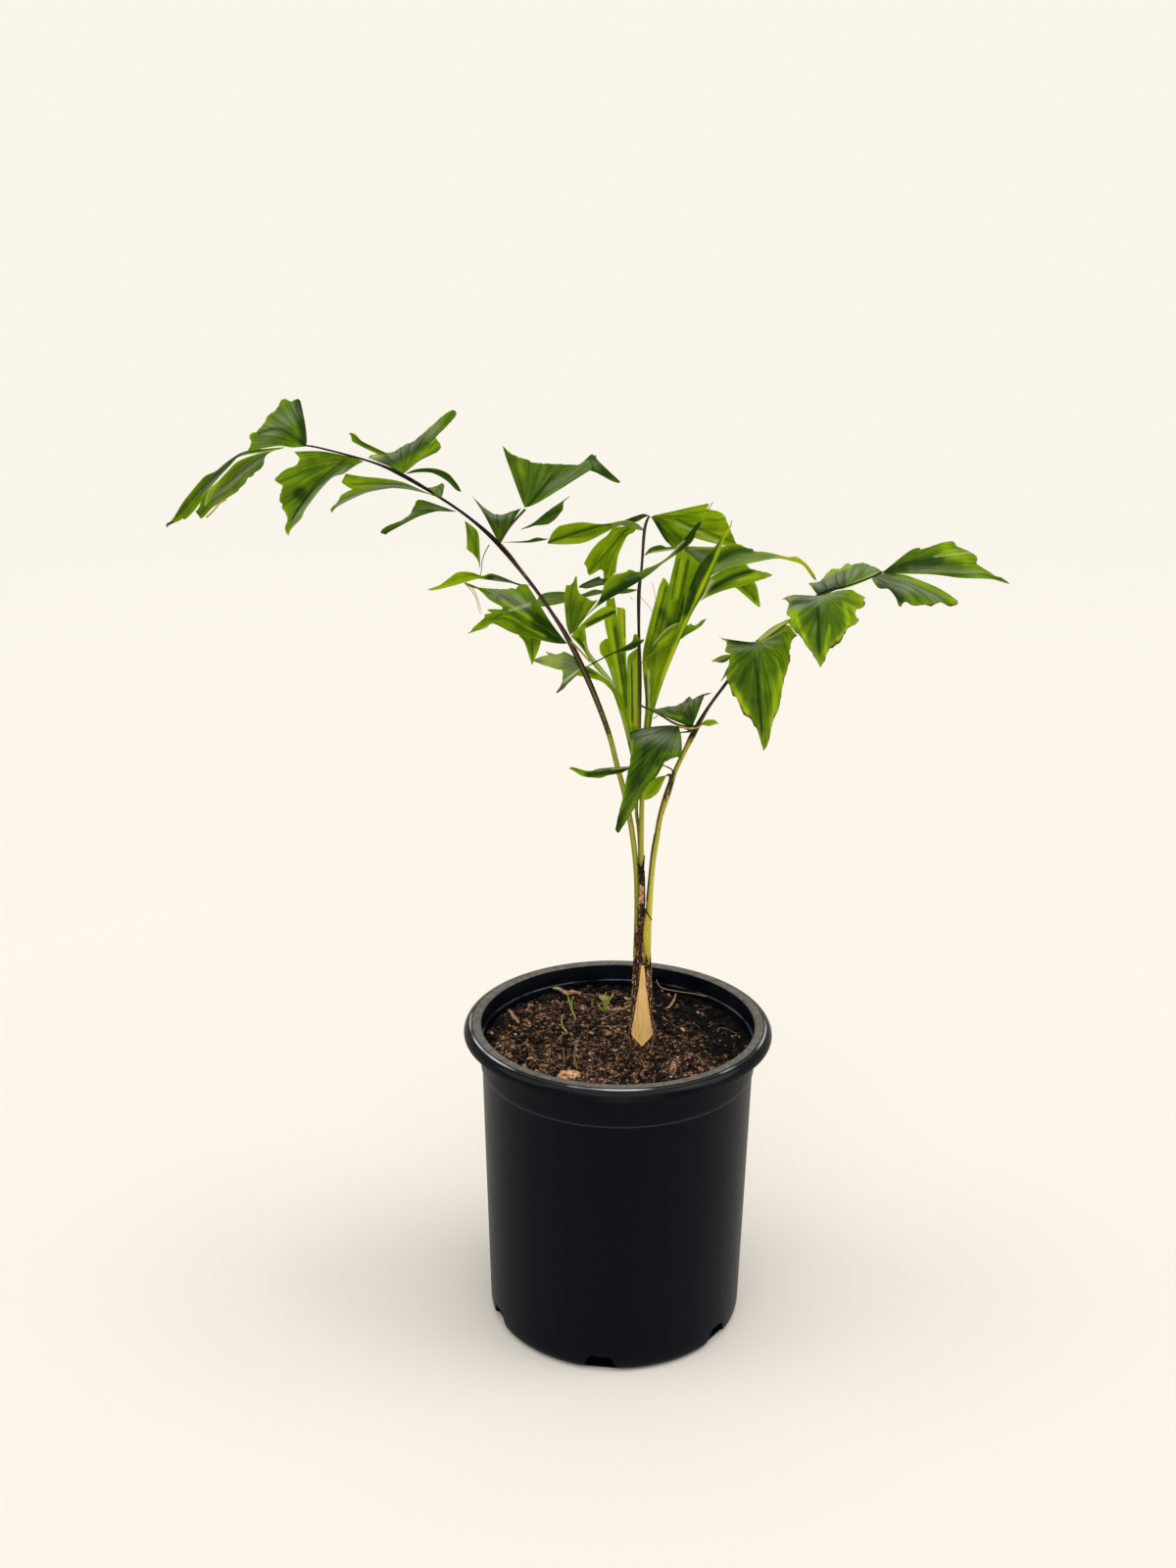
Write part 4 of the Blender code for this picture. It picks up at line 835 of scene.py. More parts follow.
# The dry sheath: (z, half width)
SHEATH = [(279, 0.6), (271, 1.8), (262, 2.7), (253, 4.3), (244, 5.6), (236, 6.9), (227.5, 8.8), (224, 6.0),
          (221, 2.8), (218.2, 0.4)]
# Axis of the stem where its loose fibres lie, their number, and the number of hairs in its tuft
FIBRE_X = 16.6
LOOSE_FIBRES, TUFT_HAIRS = 120, 16


def stem_radius(z):
    """Radius of the stem's column at a height."""
    return np.interp(z, [row[2] for row in STEM], [row[3] for row in STEM])


class PALM_OT_stem(bpy.types.Operator):
    """Wraps the stem: a column of crossing fibres from old leaf bases, with its dark tuft and loose hairs"""
    bl_idname = "palm.stem"
    bl_label = "Stem"

    def execute(self, context):
        path = catmull(STEM, 22)
        path = np.concatenate([path[:1], path, path[-1:]])
        turn = np.linspace(0, TURN, 73)
        z = path[:, 2, None]
        around = turn * 7.5
        weave = np.abs(np.sin(around * 0.9 + z * 0.55 + 1.2 * np.sin(z / 9)))
        weave = np.maximum(weave, np.abs(np.sin(around * 0.9 - z * 0.42 + np.cos(z / 7))))
        ribs = 0.35 * np.sin(around * 1.7 + 2 * np.sin(z / 17)) + 0.3 * np.sin(3 * turn + z / 14)
        radius = path[:, 3, None] + 0.45 * weave - 0.35 + ribs * 0.5
        radius[0] = radius[-1] = 0
        points = np.stack([path[:, 0, None] + radius * np.sin(turn), path[:, 1, None] - radius * np.cos(turn),
                           np.broadcast_to(z, radius.shape)], axis=-1)
        tone = np.zeros(points.shape[:2] + (4,))
        # Painted shade: darker where the weave sinks between the strands, lighter where it rises
        tone[..., 0] = np.clip(weave * 0.9 - 0.1 + 0.3 * ribs, 0, 1)
        tuft = toned((300, 0.3), (320, 0.5), (328, 1.1), (337, 1.2), (342, 0.4), (352, -0.1))
        parts = [closed_grid("column", points, None, tone),
                 tube(STEM_FIBRE, 18, 10, ridges=0.15, rough=0.12, paint=tuft),
                 tube(STEM_PRONG, 8, 6, rough=0.1, paint=even_tone(-0.3)),
                 tube(STEM_HAIRS, 7, 5, paint=even_tone(-1)), tube(CROSS_HAIR, 7, 5, paint=even_tone(-1))]
        # Painted shadow: a near-black bar down each side of the sheath
        for side in (-1, 1):
            route = []
            for z, a, r in SHEATH_SHADOW_BARS:
                out = stem_radius(z) + 0.25
                route.append((FIBRE_X + out * math.sin(side * a), STEM_Y - out * math.cos(a), z, r))
            parts.append(tube(route, 8, 5, paint=even_tone(-1)))
        draw = random.Random(8)
        for _ in range(LOOSE_FIBRES):
            a, low = draw.uniform(0, 6.3), draw.uniform(214, 286)
            lean, rise = draw.gauss(0, 0.5), draw.uniform(10, 26)
            route = []
            for k in range(5):
                high = min(low + rise * k / 4, 303)
                bearing = a + lean * k / 4 + 0.15 * math.sin(3 * k + a)
                out = float(stem_radius(high)) + draw.uniform(0.1, 0.55)
                route.append((FIBRE_X + out * math.sin(bearing), STEM_Y - out * math.cos(bearing), high,
                              draw.uniform(0.2, 0.42)))
            parts.append(tube(route, 5, 3, paint=even_tone(draw.uniform(0.3, 1.0))))
        for _ in range(TUFT_HAIRS):
            a, low = draw.uniform(-1.2, 1.2), draw.uniform(278, 300)
            out = float(stem_radius(low)) - 1
            route = [(16.3 + out * math.sin(a), STEM_Y - out * math.cos(a), low, 0.4)]
            for k in range(1, 4):
                x, y, high, _ = route[-1]
                route.append((x + draw.gauss(0, 0.8), y + draw.gauss(-0.2, 0.5), high + draw.uniform(4, 9),
                              0.4 - 0.08 * k))
            parts.append(tube(route, 5, 4))
        settle(join("fibrous_stem", parts), shared(matted_fibre, "matted_fibre"), ("stem",))
        return {"FINISHED"}


class PALM_OT_dry_sheath(bpy.types.Operator):
    """Wraps the dry golden sheath of an old leaf round the front of the stem's foot"""
    bl_idname = "palm.dry_sheath"
    bl_label = "Dry sheath"

    def execute(self, context):
        path = catmull(SHEATH, 9)
        across = np.linspace(-1, 1, 25)
        z, half = path[:, 0, None], path[:, 1, None].clip(0.4)
        ragged = 1 - 0.1 * np.abs(wander(z, 3, 8)) * np.abs(across) ** 4
        radius = stem_radius(z) + 1.05 + 0.35 * across ** 2 + 0.16 * wander(across * 9, 5, 3.4)
        bearing = half * ragged * across / radius
        middle = STEM_X - 0.0067 * (z - SOIL_LEVEL)
        points = np.stack([middle + radius * np.sin(bearing), STEM_Y - radius * np.cos(bearing),
                           np.broadcast_to(z, bearing.shape)], axis=-1)
        sheath = shaped_grid("golden_sheath", points)
        apply(sheath, "SOLIDIFY", thickness=0.55 * MM, offset=0.0)
        # A leaf base dried in the sun: straw gold with long fibres, and a little shiny
        finish = plain_finish("dry_leaf_sheath", context.scene.palm_stalk.sheath, linear("#eeb468"),
                              per_mm(0.9, 0.9, 0.09), roughness=0.6, depth=0.15)
        settle(sheath, finish, ("dry_sheath",))
        return {"FINISHED"}


def skin(*stops):
    """Paint of a stalk: rows (height, dark on its left, middle and right, mottle, gold, pale front stripe). The pale
    front stripe, on the side that faces the viewer, is a painted highlight.
    """
    table = np.array(stops, float)

    def paint(path, turn):
        left, middle, right, *rest = (np.interp(path[:, 2], table[:, 0], table[:, k])[:, None] for k in range(1, 7))
        # front: share of the painted highlight, on the side that faces the viewer
        side, front = np.sin(turn)[None], smooth(0.86, 0.99, np.cos(turn))[None]
        dark = middle + (left - middle) * smooth(0.1, 0.7, side) + (right - middle) * smooth(0.1, 0.7, -side)
        mottle, gold, pale = (value * np.ones_like(side) for value in rest)
        return np.stack([dark, mottle, gold, pale * front], axis=-1)
    return paint


# Dark twigs have a faint painted highlight down their front; pale threads are pale only on the side that faces the
# viewer, the same painted highlight
DARK_TWIG = skin((0, 1, 0.85, 1, 0.2, 0, 0.1))
PALE_THREAD = skin((0, 0, 0, 0, 0, 0.3, 1.0))
# Tints of leaflets. light runs from 0 (deep green) over 0.33 (fresh) and 0.66 (lit) to 1 (yellow) and holds painted
# light and shade as well as the green's own changes; lit is the painted glow of backlit tissue. grey is the wax
# bloom together with a painted sheen; both are given across the leaflet at its first, middle and last vein. margin,
# burnt and tip are how much the edges yellow, how much the outer edge is dry and how much yellow comes in towards
# the tip.
TINTS = {
    "grown": dict(light=(0.36, 0.3, 0.36), grey=(0, 0.02, 0), margin=0.12, burnt=0.15, tip=0.05),
    "deep": dict(light=(0.16, 0.1, 0.16), grey=(0, 0.04, 0), margin=0.1, burnt=0.15, tip=0.0),
    "bloomed": dict(light=(0.3, 0.25, 0.3), grey=(0.5, 0.65, 0.5), margin=0.1, burnt=0.1, tip=0.1),
    "lit": dict(light=(0.56, 0.48, 0.56), grey=(0, 0, 0), margin=0.15, burnt=0.05, tip=0.06),
    "young": dict(light=(0.52, 0.46, 0.52), grey=(0, 0.03, 0), margin=0.12, burnt=0.0, tip=0.05),
}
# Paint that follows a line: the channel of the tone attribute that it moves, and which way. lit and deep paint
# light and shade onto the leaflet, grey paints bloom and sheen, and pale paints lines that are partly pale
# scratches and partly painted highlights on folds
STROKES = {"lit": (0, 1), "deep": (0, -1), "grey": (1, 1), "dry": (2, 1), "dark": (3, 0.5), "pale": (3, -0.5)}
# Spacing of a leaflet's rows and columns, heights of its pleats and of its slow waves, depth of its ragged
# teeth, and how steeply a leaflet that ends in a point is folded along its middle
ROW_PITCH, COLUMN_PITCH = 1.7, 1.15
PLEAT, WAVE, RAGGED, FOLD = 0.25, 0.6, 0.4, 0.22


def leaf_tone(seed, across, along, from_side, from_end, width, tint):
    """Tone attribute: lightness, bloom, dry edge and rib, from places across and along in 0 to 1 and mm."""
    stops = (0.0, 0.5, 1.0)
    edge = np.exp(-np.minimum(from_side, from_end) / 2.6)
    patch = wander(across * width * 1.3 + along * 17, seed, 31)
    light = np.interp(across, stops, tint["light"]) + tint["margin"] * edge * (0.8 + 0.5 * patch)
    light = light + tint["tip"] * smooth(0.4, 1.0, along) + 0.06 * patch
    # The grey share: wax bloom and painted sheen, away from the base and the edges
    bloom = np.interp(across, stops, tint["grey"]) * smooth(0.0, 0.25, along) * (1 - 0.7 * edge)
    ragged = 0.5 + 0.5 * wander(across * width, seed + 5, 7)
    burnt = tint["burnt"] * 2 * ragged * np.exp(-from_end / (0.5 + 0.8 * ragged))
    return np.stack([light, bloom, burnt, np.full(across.shape, 0.5)], axis=-1)


def leaflet(seed, base, first, edge, last, lean, look, strokes=(), changes=None):
    """Sheet whose veins run from its base to its outer end, as one row of a table of leaflets describes it."""
    first, edge, last = (np.array(points, float).reshape(-1, 2) for points in (first, edge, last))
    sides = [catmull(np.vstack([np.zeros((1, 2)), side, tip]), 4)
             for side, tip in ((first, edge[:1]), (last, edge[-1:]))]
    rows = int(np.clip(max(travel(side)[-1] for side in sides) / ROW_PITCH, 8, 60)) + 1
    sides = [evenly(side, rows) for side in sides]
    narrow = len(edge) < 2
    width = max(np.linalg.norm(sides[0] - sides[1], axis=1).max(), travel(edge)[-1])
    columns = int(np.clip(width / COLUMN_PITCH, 8, 150)) + 1
    end = np.repeat(edge, columns, axis=0) if narrow else evenly(catmull(edge, 4), columns)
    s, t = np.linspace(0, 1, columns)[None, :, None], np.linspace(0, 1, rows)[:, None, None]
    flat = (1 - s) * sides[0][:, None] + s * sides[1][:, None]
    flat = flat + t * (end[None] - (1 - s) * end[0] - s * end[-1])
    s, t = np.broadcast_arrays(s[..., 0], t[..., 0])
    place = s[0] * width
    if not narrow:
        teeth = RAGGED * (0.5 + wander(place, seed + 3, 4.3)) * smooth(0, 3, np.minimum(place, width - place))
        flat = flat * (1 - (teeth / np.linalg.norm(end, axis=1).clip(4))[None, :, None] * t[..., None] ** 6)
    reach = np.linalg.norm(flat, axis=-1)
    depth = base[1] + flat @ np.array(lean)
    points = np.stack([base[0] + flat[..., 0], depth, base[2] + flat[..., 1]], axis=-1)
    steps = np.linalg.norm(np.diff(points, axis=1), axis=2)
    across = np.concatenate([np.zeros((rows, 1)), np.cumsum(steps, axis=1)], axis=1)
    from_side = np.minimum(across, across[:, -1:] - across)
    grown = smooth(0.0, 0.35, t) * smooth(0.5, 6.0, across[:, -1:])
    rise = PLEAT * wander(place, seed + 1, 6.5) * grown
    rise = rise + WAVE * wander(place, seed + 2, max(24, width * 0.8)) * t ** 2 * smooth(6, 30, reach)
    if narrow:
        rise = rise + FOLD * (across[:, -1:] / 2 - from_side)
    rise = rise + 0.35 * WAVE * wander(reach, seed + 4, 23) * grown
    points = bulged(points, rise)
    from_end = np.full(s.shape, 9.0) if narrow else (1 - t) * np.linalg.norm(end, axis=1)
    tone = leaf_tone(seed, s, t, from_side, from_end, width, {**TINTS[look], **(changes or {})})
    for kind, half, force, line in strokes:
        channel, way = STROKES[kind]
        near = away_from(flat, catmull(np.array(line, float).reshape(-1, 2), 4))
        tone[..., channel] += way * force * np.exp(-(near / half) ** 2)
    made = shaped_grid("blade", points, np.stack([s * width / 100, t], axis=-1), tone.clip(0, 1))
    edit(made, weld, outward)
    return made


def grow_frond(name, node, bars, rows, first_seed):
    """Joins a frond's bars and its leaflets into its two pieces, which both stand for its solid.

    Each leaflet has a seed of its own, counted from first_seed.
    """
    blades = join(name + "_leaflets", [leaflet(seed, *row) for seed, row in enumerate(rows, first_seed)])
    thickness = bpy.context.scene.palm_leaf.thickness
    apply(blades, "SOLIDIFY", thickness=thickness, offset=0.0, use_quality_normals=True)
    settle(blades, shared(leaf_blade, "palm_leaflet"), (node,), angle=60)
    settle(join(name + "_stalk", bars), shared(leaf_stalk, "palm_stalk"), (node,), angle=70)


def rachis(route, places, swell, sides, *stops):
    """A frond's stalk with small swellings where leaflets join it; places are indices of its points."""
    route = [(*row[:3], row[3] + swell * (k in places)) for k, row in enumerate(route)]
    return tube(route, sides, 6, paint=skin(*stops))


def twigs(*routes):
    """Thin dark bars."""
    return [tube(route, 8, paint=DARK_TWIG) for route in routes]


def threads(rows):
    """Thin dry threads that taper to about half their width."""
    return [tube([(*p, radius * (1.15 - 0.5 * k / len(points))) for k, p in enumerate(points)], 5, 5, paint=paint)
            for radius, paint, points in rows]


# Rows of a stalk are (x, y, z, radius). A row of leaflets holds:
#   its base as (x, y, z)
#   its first side, its outer end and its last side, as x and z of one point after another, from the base
#   how far it leans, in millimetres of y for each of x and of z
#   its tint, one of TINTS
#   paint along lines, each as (one of STROKES, half width, strength, x and z of one point after another)
#   what is changed in its tint
LEFT_RACHIS = [
    (11.5, -9.4, 283, 1.6), (11.8, -9.7, 304, 1.6), (11.9, -10, 324, 1.7), (11.2, -9.8, 347, 1.9),
    (9, -9.4, 368, 1.9), (6.5, -9, 384, 1.95), (2.8, -9, 402, 1.9), (-3, -10, 424, 1.8), (-9.3, -10, 448, 1.8),
    (-21, -10, 479, 1.5), (-35.5, -14, 511, 1.3), (-47, -18, 531, 1.2), (-61, -22, 552, 1.2),
    (-81, -28, 578, 1.1), (-98, -34, 595, 1.0), (-116, -40, 609, 0.9), (-139, -46, 624, 0.8),
    (-158, -50, 633, 0.7), (-188, -56, 642, 0.6), (-198, -58, 644, 0.5)]
LEFT_TWIG = [(-81, -28, 578, 0.9), (-74, -26, 589, 0.8), (-64, -24, 600, 0.8)]
# Dry threads: radius, paint and points
LEFT_THREADS = [
    (0.3, DARK_TWIG, [(-86.5, -38, 579.5), (-89, -38, 575), (-91, -38, 569.5), (-91.5, -38, 564),
                      (-92.5, -38, 559)]),
    (0.3, PALE_THREAD, [(-103, -37, 556), (-97.5, -37, 551), (-94.5, -37, 545), (-93, -37, 540),
                        (-92, -37, 536.5)]),
    (0.3, PALE_THREAD, [(-103.5, -37, 555.5), (-98.5, -37, 550), (-95.5, -37, 545), (-94, -37, 539),
                        (-92.5, -37, 534.5)]),
    (0.18, PALE_THREAD, [(-78.5, -29, 578.5), (-71, -27, 568.5), (-63.5, -24, 556.5)]),
    (0.7, DARK_TWIG, [(-35, -14, 511.5), (-28.5, -11, 504), (-22, -10, 496.5)]),
    (0.45, PALE_THREAD, [(-35, -15.5, 511.5), (-28.5, -12.5, 504), (-22, -11.5, 496.5)]),
    (0.6, PALE_THREAD, [(-257.5, -74, 602), (-252.5, -74, 606.5), (-249, -74, 610.5), (-244.5, -74, 613)])]
LEFT_LEAFLETS = [
    ((-210, -60, 643), (-9, -0.5, -23.5, -2, -34.5, -8, -42, -14, -47, -16, -51, -19, -62.5, -32, -71, -44.5, -73.5,
     -46, -75, -48), (-74.5, -49.5), (-9, -2, -26.5, -5, -33, -10.5, -41.5, -19, -48, -26, -52, -32, -57.5, -39,
     -63.5, -44.5, -64, -43, -66.5, -45, -72.5, -47.5), (0.16, -0.17), "grown", (("dark", 0.8, 0.8, (-27, -4, -55,
     -28, -68, -42)), ("grey", 2.0, 0.7, (-24, -3, -35, -10, -52, -27)), ("dry", 1.5, 0.8, (-74, -47, -71, -46)))),
    ((-210, -62, 643), (-6.5, -1.5, -16, -3, -27.5, -7, -34.5, -13.5, -39.5, -18.5, -48, -25.5, -51.5, -34), (-54,
     -37.5), (-5.5, -1.5, -10, -3.5, -12, -6.5, -12.5, -9.5, -15.5, -13, -18, -14, -19.5, -16.5, -22.5, -17.5, -24,
     -20.5, -27.5, -23.5, -29.5, -26, -42.5, -34, -46, -37, -51, -42, -52.5, -40), (0.35, -0.19), "grown", (("dark",
     0.8, 0.8, (-9, -3, -17, -7, -38, -23)), ("grey", 2.2, 0.7, (-13, -5, -43, -30)), ("lit", 1.5, 0.3, (-41, -20,
     -47, -33)), ("pale", 0.5, 0.6, (-39, -18, -45, -24, -48, -33)))),
    ((-197, -58, 643.5), (-9, -1, -17, -0.5, -29.5, -2.5), (-38, -4.5, -36, 0.5, -37, 4, -36, 6, -32.5, 7, -29.5, 10,
     -27, 13, -25.5, 16.5, -23.5, 18, -20.5, 19.5, -16, 26.5, -10.5, 25, -9, 26.5, -6.5, 27, -5, 26), (0, 5.5, -1.5,
     14, -3.5, 21.5), (-0.27, 0.53), "grown", (("dark", 1.0, 1, (0, 0, -14, 8, -21, 9, -31, 6)), ("grey", 5, 0.45,
     (-9, 19, -27, 4)), ("deep", 2.5, 0.6, (-1, 3, -6, 24)))),
    ((-163, -51, 633.5), (-6.5, 2.5, -21, 6, -29.5, 7), (-41, 7, -38.5, 3, -39, 0.5, -41, -1.5, -47.5, -4, -52, -8,
     -52.5, -10, -48, -13, -49, -15.5, -50, -21.5, -48.5, -23.5, -48.5, -25.5, -47, -28, -45, -33.5, -46.5, -36.5,
     -46.5, -39.5, -44.5, -42.5), (-6, -3, -12, -7, -18, -8.5, -24, -14, -29.5, -20.5, -35, -28, -37, -32.5, -43,
     -38.5), (0.27, 0.28), "grown", (("dark", 0.8, 0.9, (-11, 1, -28, -12, -43, -33)), ("dark", 0.6, 0.8, (-12, -2,
     -30, -16, -42, -32)), ("grey", 2.4, 0.8, (-11, -5, -23, -13, -41, -34)), ("deep", 3.5, 0.5, (-39, -17, -35,
     -20)))),
    ((-139.5, -46, 625), (-8.5, 4.5, -16.5, 7.5), (-21.5, 9.5, -20, 11, -10.5, 12.5, -5.5, 13.5, 2, 18, 6.5, 19.5, 28,
     36.5, 32.5, 34, 21, 22.5, 21, 20.5, 23.5, 17, 23, 14.5, 21, 13, 17.5, 12.5, 14, 13), (3, 4, 6.5, 8, 10, 10.5),
     (0.04, 0.51), "grown", (("pale", 0.6, 0.5, (-19, 10, -7, 13, 20, 30)), ("grey", 3.0, 0.6, (-17, 9, -6, 11, 21,
     27)), ("deep", 3, 0.6, (-13, 6, 12, 19)))),
    ((-148, -42, 636.5), (-5.5, 2.5, -17, 7.5, -20.5, 11, -24, 12.5), (-25.5, 12), (-4.5, 0, -8.5, 0.5, -22, 6.5,
     -23.5, 8, -24, 10.5), (-0.18, 0.18), "grown", (("dark", 0.7, 0.6, (-3, 0, -20, 8)),)),
    ((-138, -46, 625), (2.5, 1.5, 7, 3, 13, 3.5, 19, 3, 23.5, 1.5, 27, -0.5, 30, -4, 32.5, -7.5), (34.5, -11.5), (3,
     0.5, 7, 1, 13, 1, 18, 0, 25.5, -4.5, 31.5, -10.5), (0.19, 0.1), "deep"),
    ((-119, -42, 610.5), (-9, 4, -21, 9.5, -33, 12, -45, 13.5), (-55, 15.5, -57.5, 10.5, -51, 5.5, -55.5, 4, -58.5, 2,
     -62, -4, -64.5, -5.5, -63.5, -7.5), (-9, 3, -18, 5, -27, 6, -36, 5, -45, 3, -58.5, -3, -62, -5.5), (0.26, 0.26),
     "grown", (("grey", 1.8, 0.8, (-9, 4, -24, 7, -38, 6, -60, -3)), ("dark", 0.6, 0.6, (-3, 2, -21, 8, -51, 9))),
     {"light": (0.5, 0.42, 0.3)}),
    ((-116, -42, 609.5), (-4.5, 2.5), (-10, 6.5, -2.5, 8, 1, 10, 2, 7.5), (1, 3), (0.09, 0.06), "bloomed"),
    ((-107.5, -37, 600.5), (-6, 2.5, -18, 7.5), (-22.5, 8.5, -24.5, 7, -27.5, 0.5, -30.5, -2, -35, -5, -43.5, -8, -46,
     -10, -45, -11.5, -42.5, -12), (-6, 0.5, -12, 1, -18, -0.5, -24, -2.5, -39.5, -10), (0.37, 0.06), "deep",
     (("grey", 1.2, 0.5, (-9, 2, -21, 3, -33, -4)),)),
    ((-102, -36, 594.5), (1, -5, 1.5, -11), (1.5, -17, 7, -21.5, 9, -24.5, 10, -28.5), (6, -4, 9, -8.5, 10, -22.5),
     (-0.06, 0.37), "grown"),
    ((-81, -28, 579.5), (-2.5, 4, -8.5, 15.5, -15, 25.5), (-17.5, 29, -12, 23.5, -5, 18.5, -2, 17.5, 1.5, 17, 5, 18,
     14.5, 21), (4, 5, 12.5, 18), (0.03, 0.23), "deep", (("grey", 2, 0.7, (-12, 22, -2, 16, 7, 17)),)),
    ((-64, -24, 601), (-2, 3.5, -12, 28), (-15, 37, -10.5, 33, -6.5, 31, 2, 28.5, 6.5, 27, 30.5, 26, 35, 26.5, 38,
     28.5, 40.5, 28.5, 42.5, 26, 42, 23), (9, 3.5, 35, 19), (-0.02, 0.44), "deep", (("dark", 1.1, 1, (1, 0, 17, 19)),
     ("grey", 3, 0.5, (15, 12, 39, 25))), {"light": (0.24, 0.2, 0.26)}),
    ((-29, -9, 626.5), (3, 3, 7.5, 7, 8.5, 6, 10, 6.5, 11.5, 3, 25, -9), (25.5, -10), (2.5, -2, 4, -3, 10, -4.5, 20.5,
     -9.5, 24.5, -10.5), (-0.27, 0.11), "deep", (("grey", 2, 0.7, (0, 0, 5, 3, 11, 1)),)),
    ((-67, -28, 587.5), (9, 5, 18, 13, 25.5, 18.5), (31.5, 23, 28, 19.5, 27.5, 15, 25, 11, 21.5, 7, 18, 4.5), (9, 3,
     13, 3.5), (-0.22, -0.07), "deep"),
    ((-78.5, -29, 579.5), (13, 1.5, 17.5, 2.5, 20.5, 4, 23.5, 4.5, 26.5, 4), (30, 4), (13, 0.5, 18.5, 1, 25.5, 2.5),
     (-0.26, -0.06), "deep"),
    ((-58.5, -21, 550), (-9.5, 1.5, -22, 7.5, -28, 9.5, -33, 8, -38.5, 10.5, -43.5, 11.5, -48.5, 11.5, -52.5, 9, -59,
     4, -63, 2.5), (-67.5, 1), (-9.5, 0.5, -15.5, 2.5, -33, 6, -38.5, 6, -53, 2.5, -63, 0.5), (0.31, -0.02), "lit",
     (("deep", 3, 0.7, (-3, 0, -28, 6)), ("grey", 1.5, 0.5, (-9, 1, -25, 6)), ("dry", 0.8, 0.6, (-46, 11, -34, 8)))),
    ((-37, -14, 509.5), (-5.5, 7.5, -12, 17.5, -24.5, 39.5), (-27.5, 42, -31, 42, -32, 41.5, -33.5, 39, -37, 40.5,
     -40.5, 40, -58.5, 43, -65.5, 46.5, -61.5, 43.5, -56.5, 41.5, -49.5, 34, -41.5, 28, -46.5, 26, -51.5, 28, -47.5,
     24, -53.5, 25, -53, 23, -57, 20, -63.5, 13.5), (-9, 1.5, -28, 8, -37, 12, -47.5, 18.5, -52.5, 16, -57.5, 15),
     (0.49, 0.05), "grown", (("deep", 1, 0.5, (-9, 10, -28, 27, -43, 37)), ("lit", 1.2, 0.4, (-6, 5, -42, 33)),
     ("grey", 4, 0.7, (-46, 38, -28, 29)), ("deep", 4, 0.6, (-3, 2, -20, 18)), ("lit", 1.2, 0.4, (-40, 23, -15, 7)),
     ("pale", 0.7, 0.7, (-24, 29, -37, 26)), ("pale", 0.7, 0.7, (-49, 18, -56, 15)), ("dark", 0.8, 0.7, (-6, 4, -37,
     20, -46, 21)))),
    ((-53.5, -17, 518), (-5, 1.5, -11.5, 1, -15.5, -1.5, -13, -4, -11, -8, -8, -17.5), (-6.5, -22), (-0.5, -3.5, -2,
     -10, -5, -18), (0.18, 0.06), "lit", (("dark", 0.5, 0.7, (-7, -4, -6, -19)),)),
    ((-35, -15, 515.5), (-2, 5.5, -3, 12.5, -4, 26.5), (-2.5, 35.5, 0, 36, 2.5, 39, 4, 42.5, 5.5, 31, 11.5, 26.5,
     15.5, 25.5, 18, 26.5), (5, 7.5, 11.5, 17), (-0.23, -0.26), "grown", (("dark", 0.8, 0.8, (1, 1, 19, 26)),)),
    ((-34.5, -15, 515), (4.5, 8.5, 17.5, 25, 21.5, 37.5, 24, 41.5, 27, 44.5, 34.5, 46.5, 38, 49, 41.5, 47, 45.5, 48,
     48.5, 50, 53.5, 52, 63, 59.5, 83, 86), (86, 90), (4.5, 6.5, 9, 13, 14, 18.5, 22.5, 26, 45.5, 42, 54.5, 49.5,
     58.5, 53.5, 72.5, 64.5, 77.5, 70.5, 78.5, 75, 83.5, 83.5), (-0.17, -0.23), "grown", (("deep", 3.5, 0.7, (21, 26,
     41, 42)), ("grey", 1.5, 0.3, (36, 42, 52, 49, 67, 62)), ("pale", 0.7, 0.6, (64, 61, 71, 69)), ("deep", 3, 0.8,
     (68, 63, 80, 79)), ("pale", 0.6, 0.6, (10, 14, 17, 23))), {"light": (0.5, 0.46, 0.36)}),
    ((-34.5, -15, 514.5), (4.5, 6.5, 11, 14, 18.5, 21), (23, 23.5, 26, 23.5, 29.5, 21.5, 29, 19.5, 24, 15.5), (4.5, 0,
     4.5, 3.5, 17.5, 11.5), (-0.29, -0.26), "lit", (("deep", 1.2, 0.6, (11, 10, 28, 20)),)),
    ((-26, -10, 493), (-3.5, 5, -7.5, 8), (-13, 11.5, -20, 10, -25.5, 13, -23.5, 10.5, -28, 10, -32.5, 7.5, -18, 0.5,
     -14.5, -0.5, -14, -4.5, -14.5, -8.5, -16, -12, -18.5, -15.5, -14, -13.5, -12, -11.5), (-2.5, -3, -10, -9), (0.53,
     0.16), "bloomed", (("pale", 0.7, 0.7, (1, 1, -13, -8)), ("lit", 4, 0.5, (-17, 6, -23, 7)), ("dry", 1.3, 0.6,
     (-18, -15, -13, -11)))),
    ((-25, -11, 492.5), (5, 4, 29, 20, 31.5, 26, 33, 27.5, 34, 26.5, 35.5, 23, 37, 23.5), (38.5, 23.5), (5, 3, 16,
     10.5, 22.5, 13.5, 31, 16, 37, 21), (-0.29, -0.2), "grown", (("deep", 1.5, 0.8, (2, 2, 36, 21)), ("dark", 0.8,
     0.8, (1, 1, 22, 14)))),
]


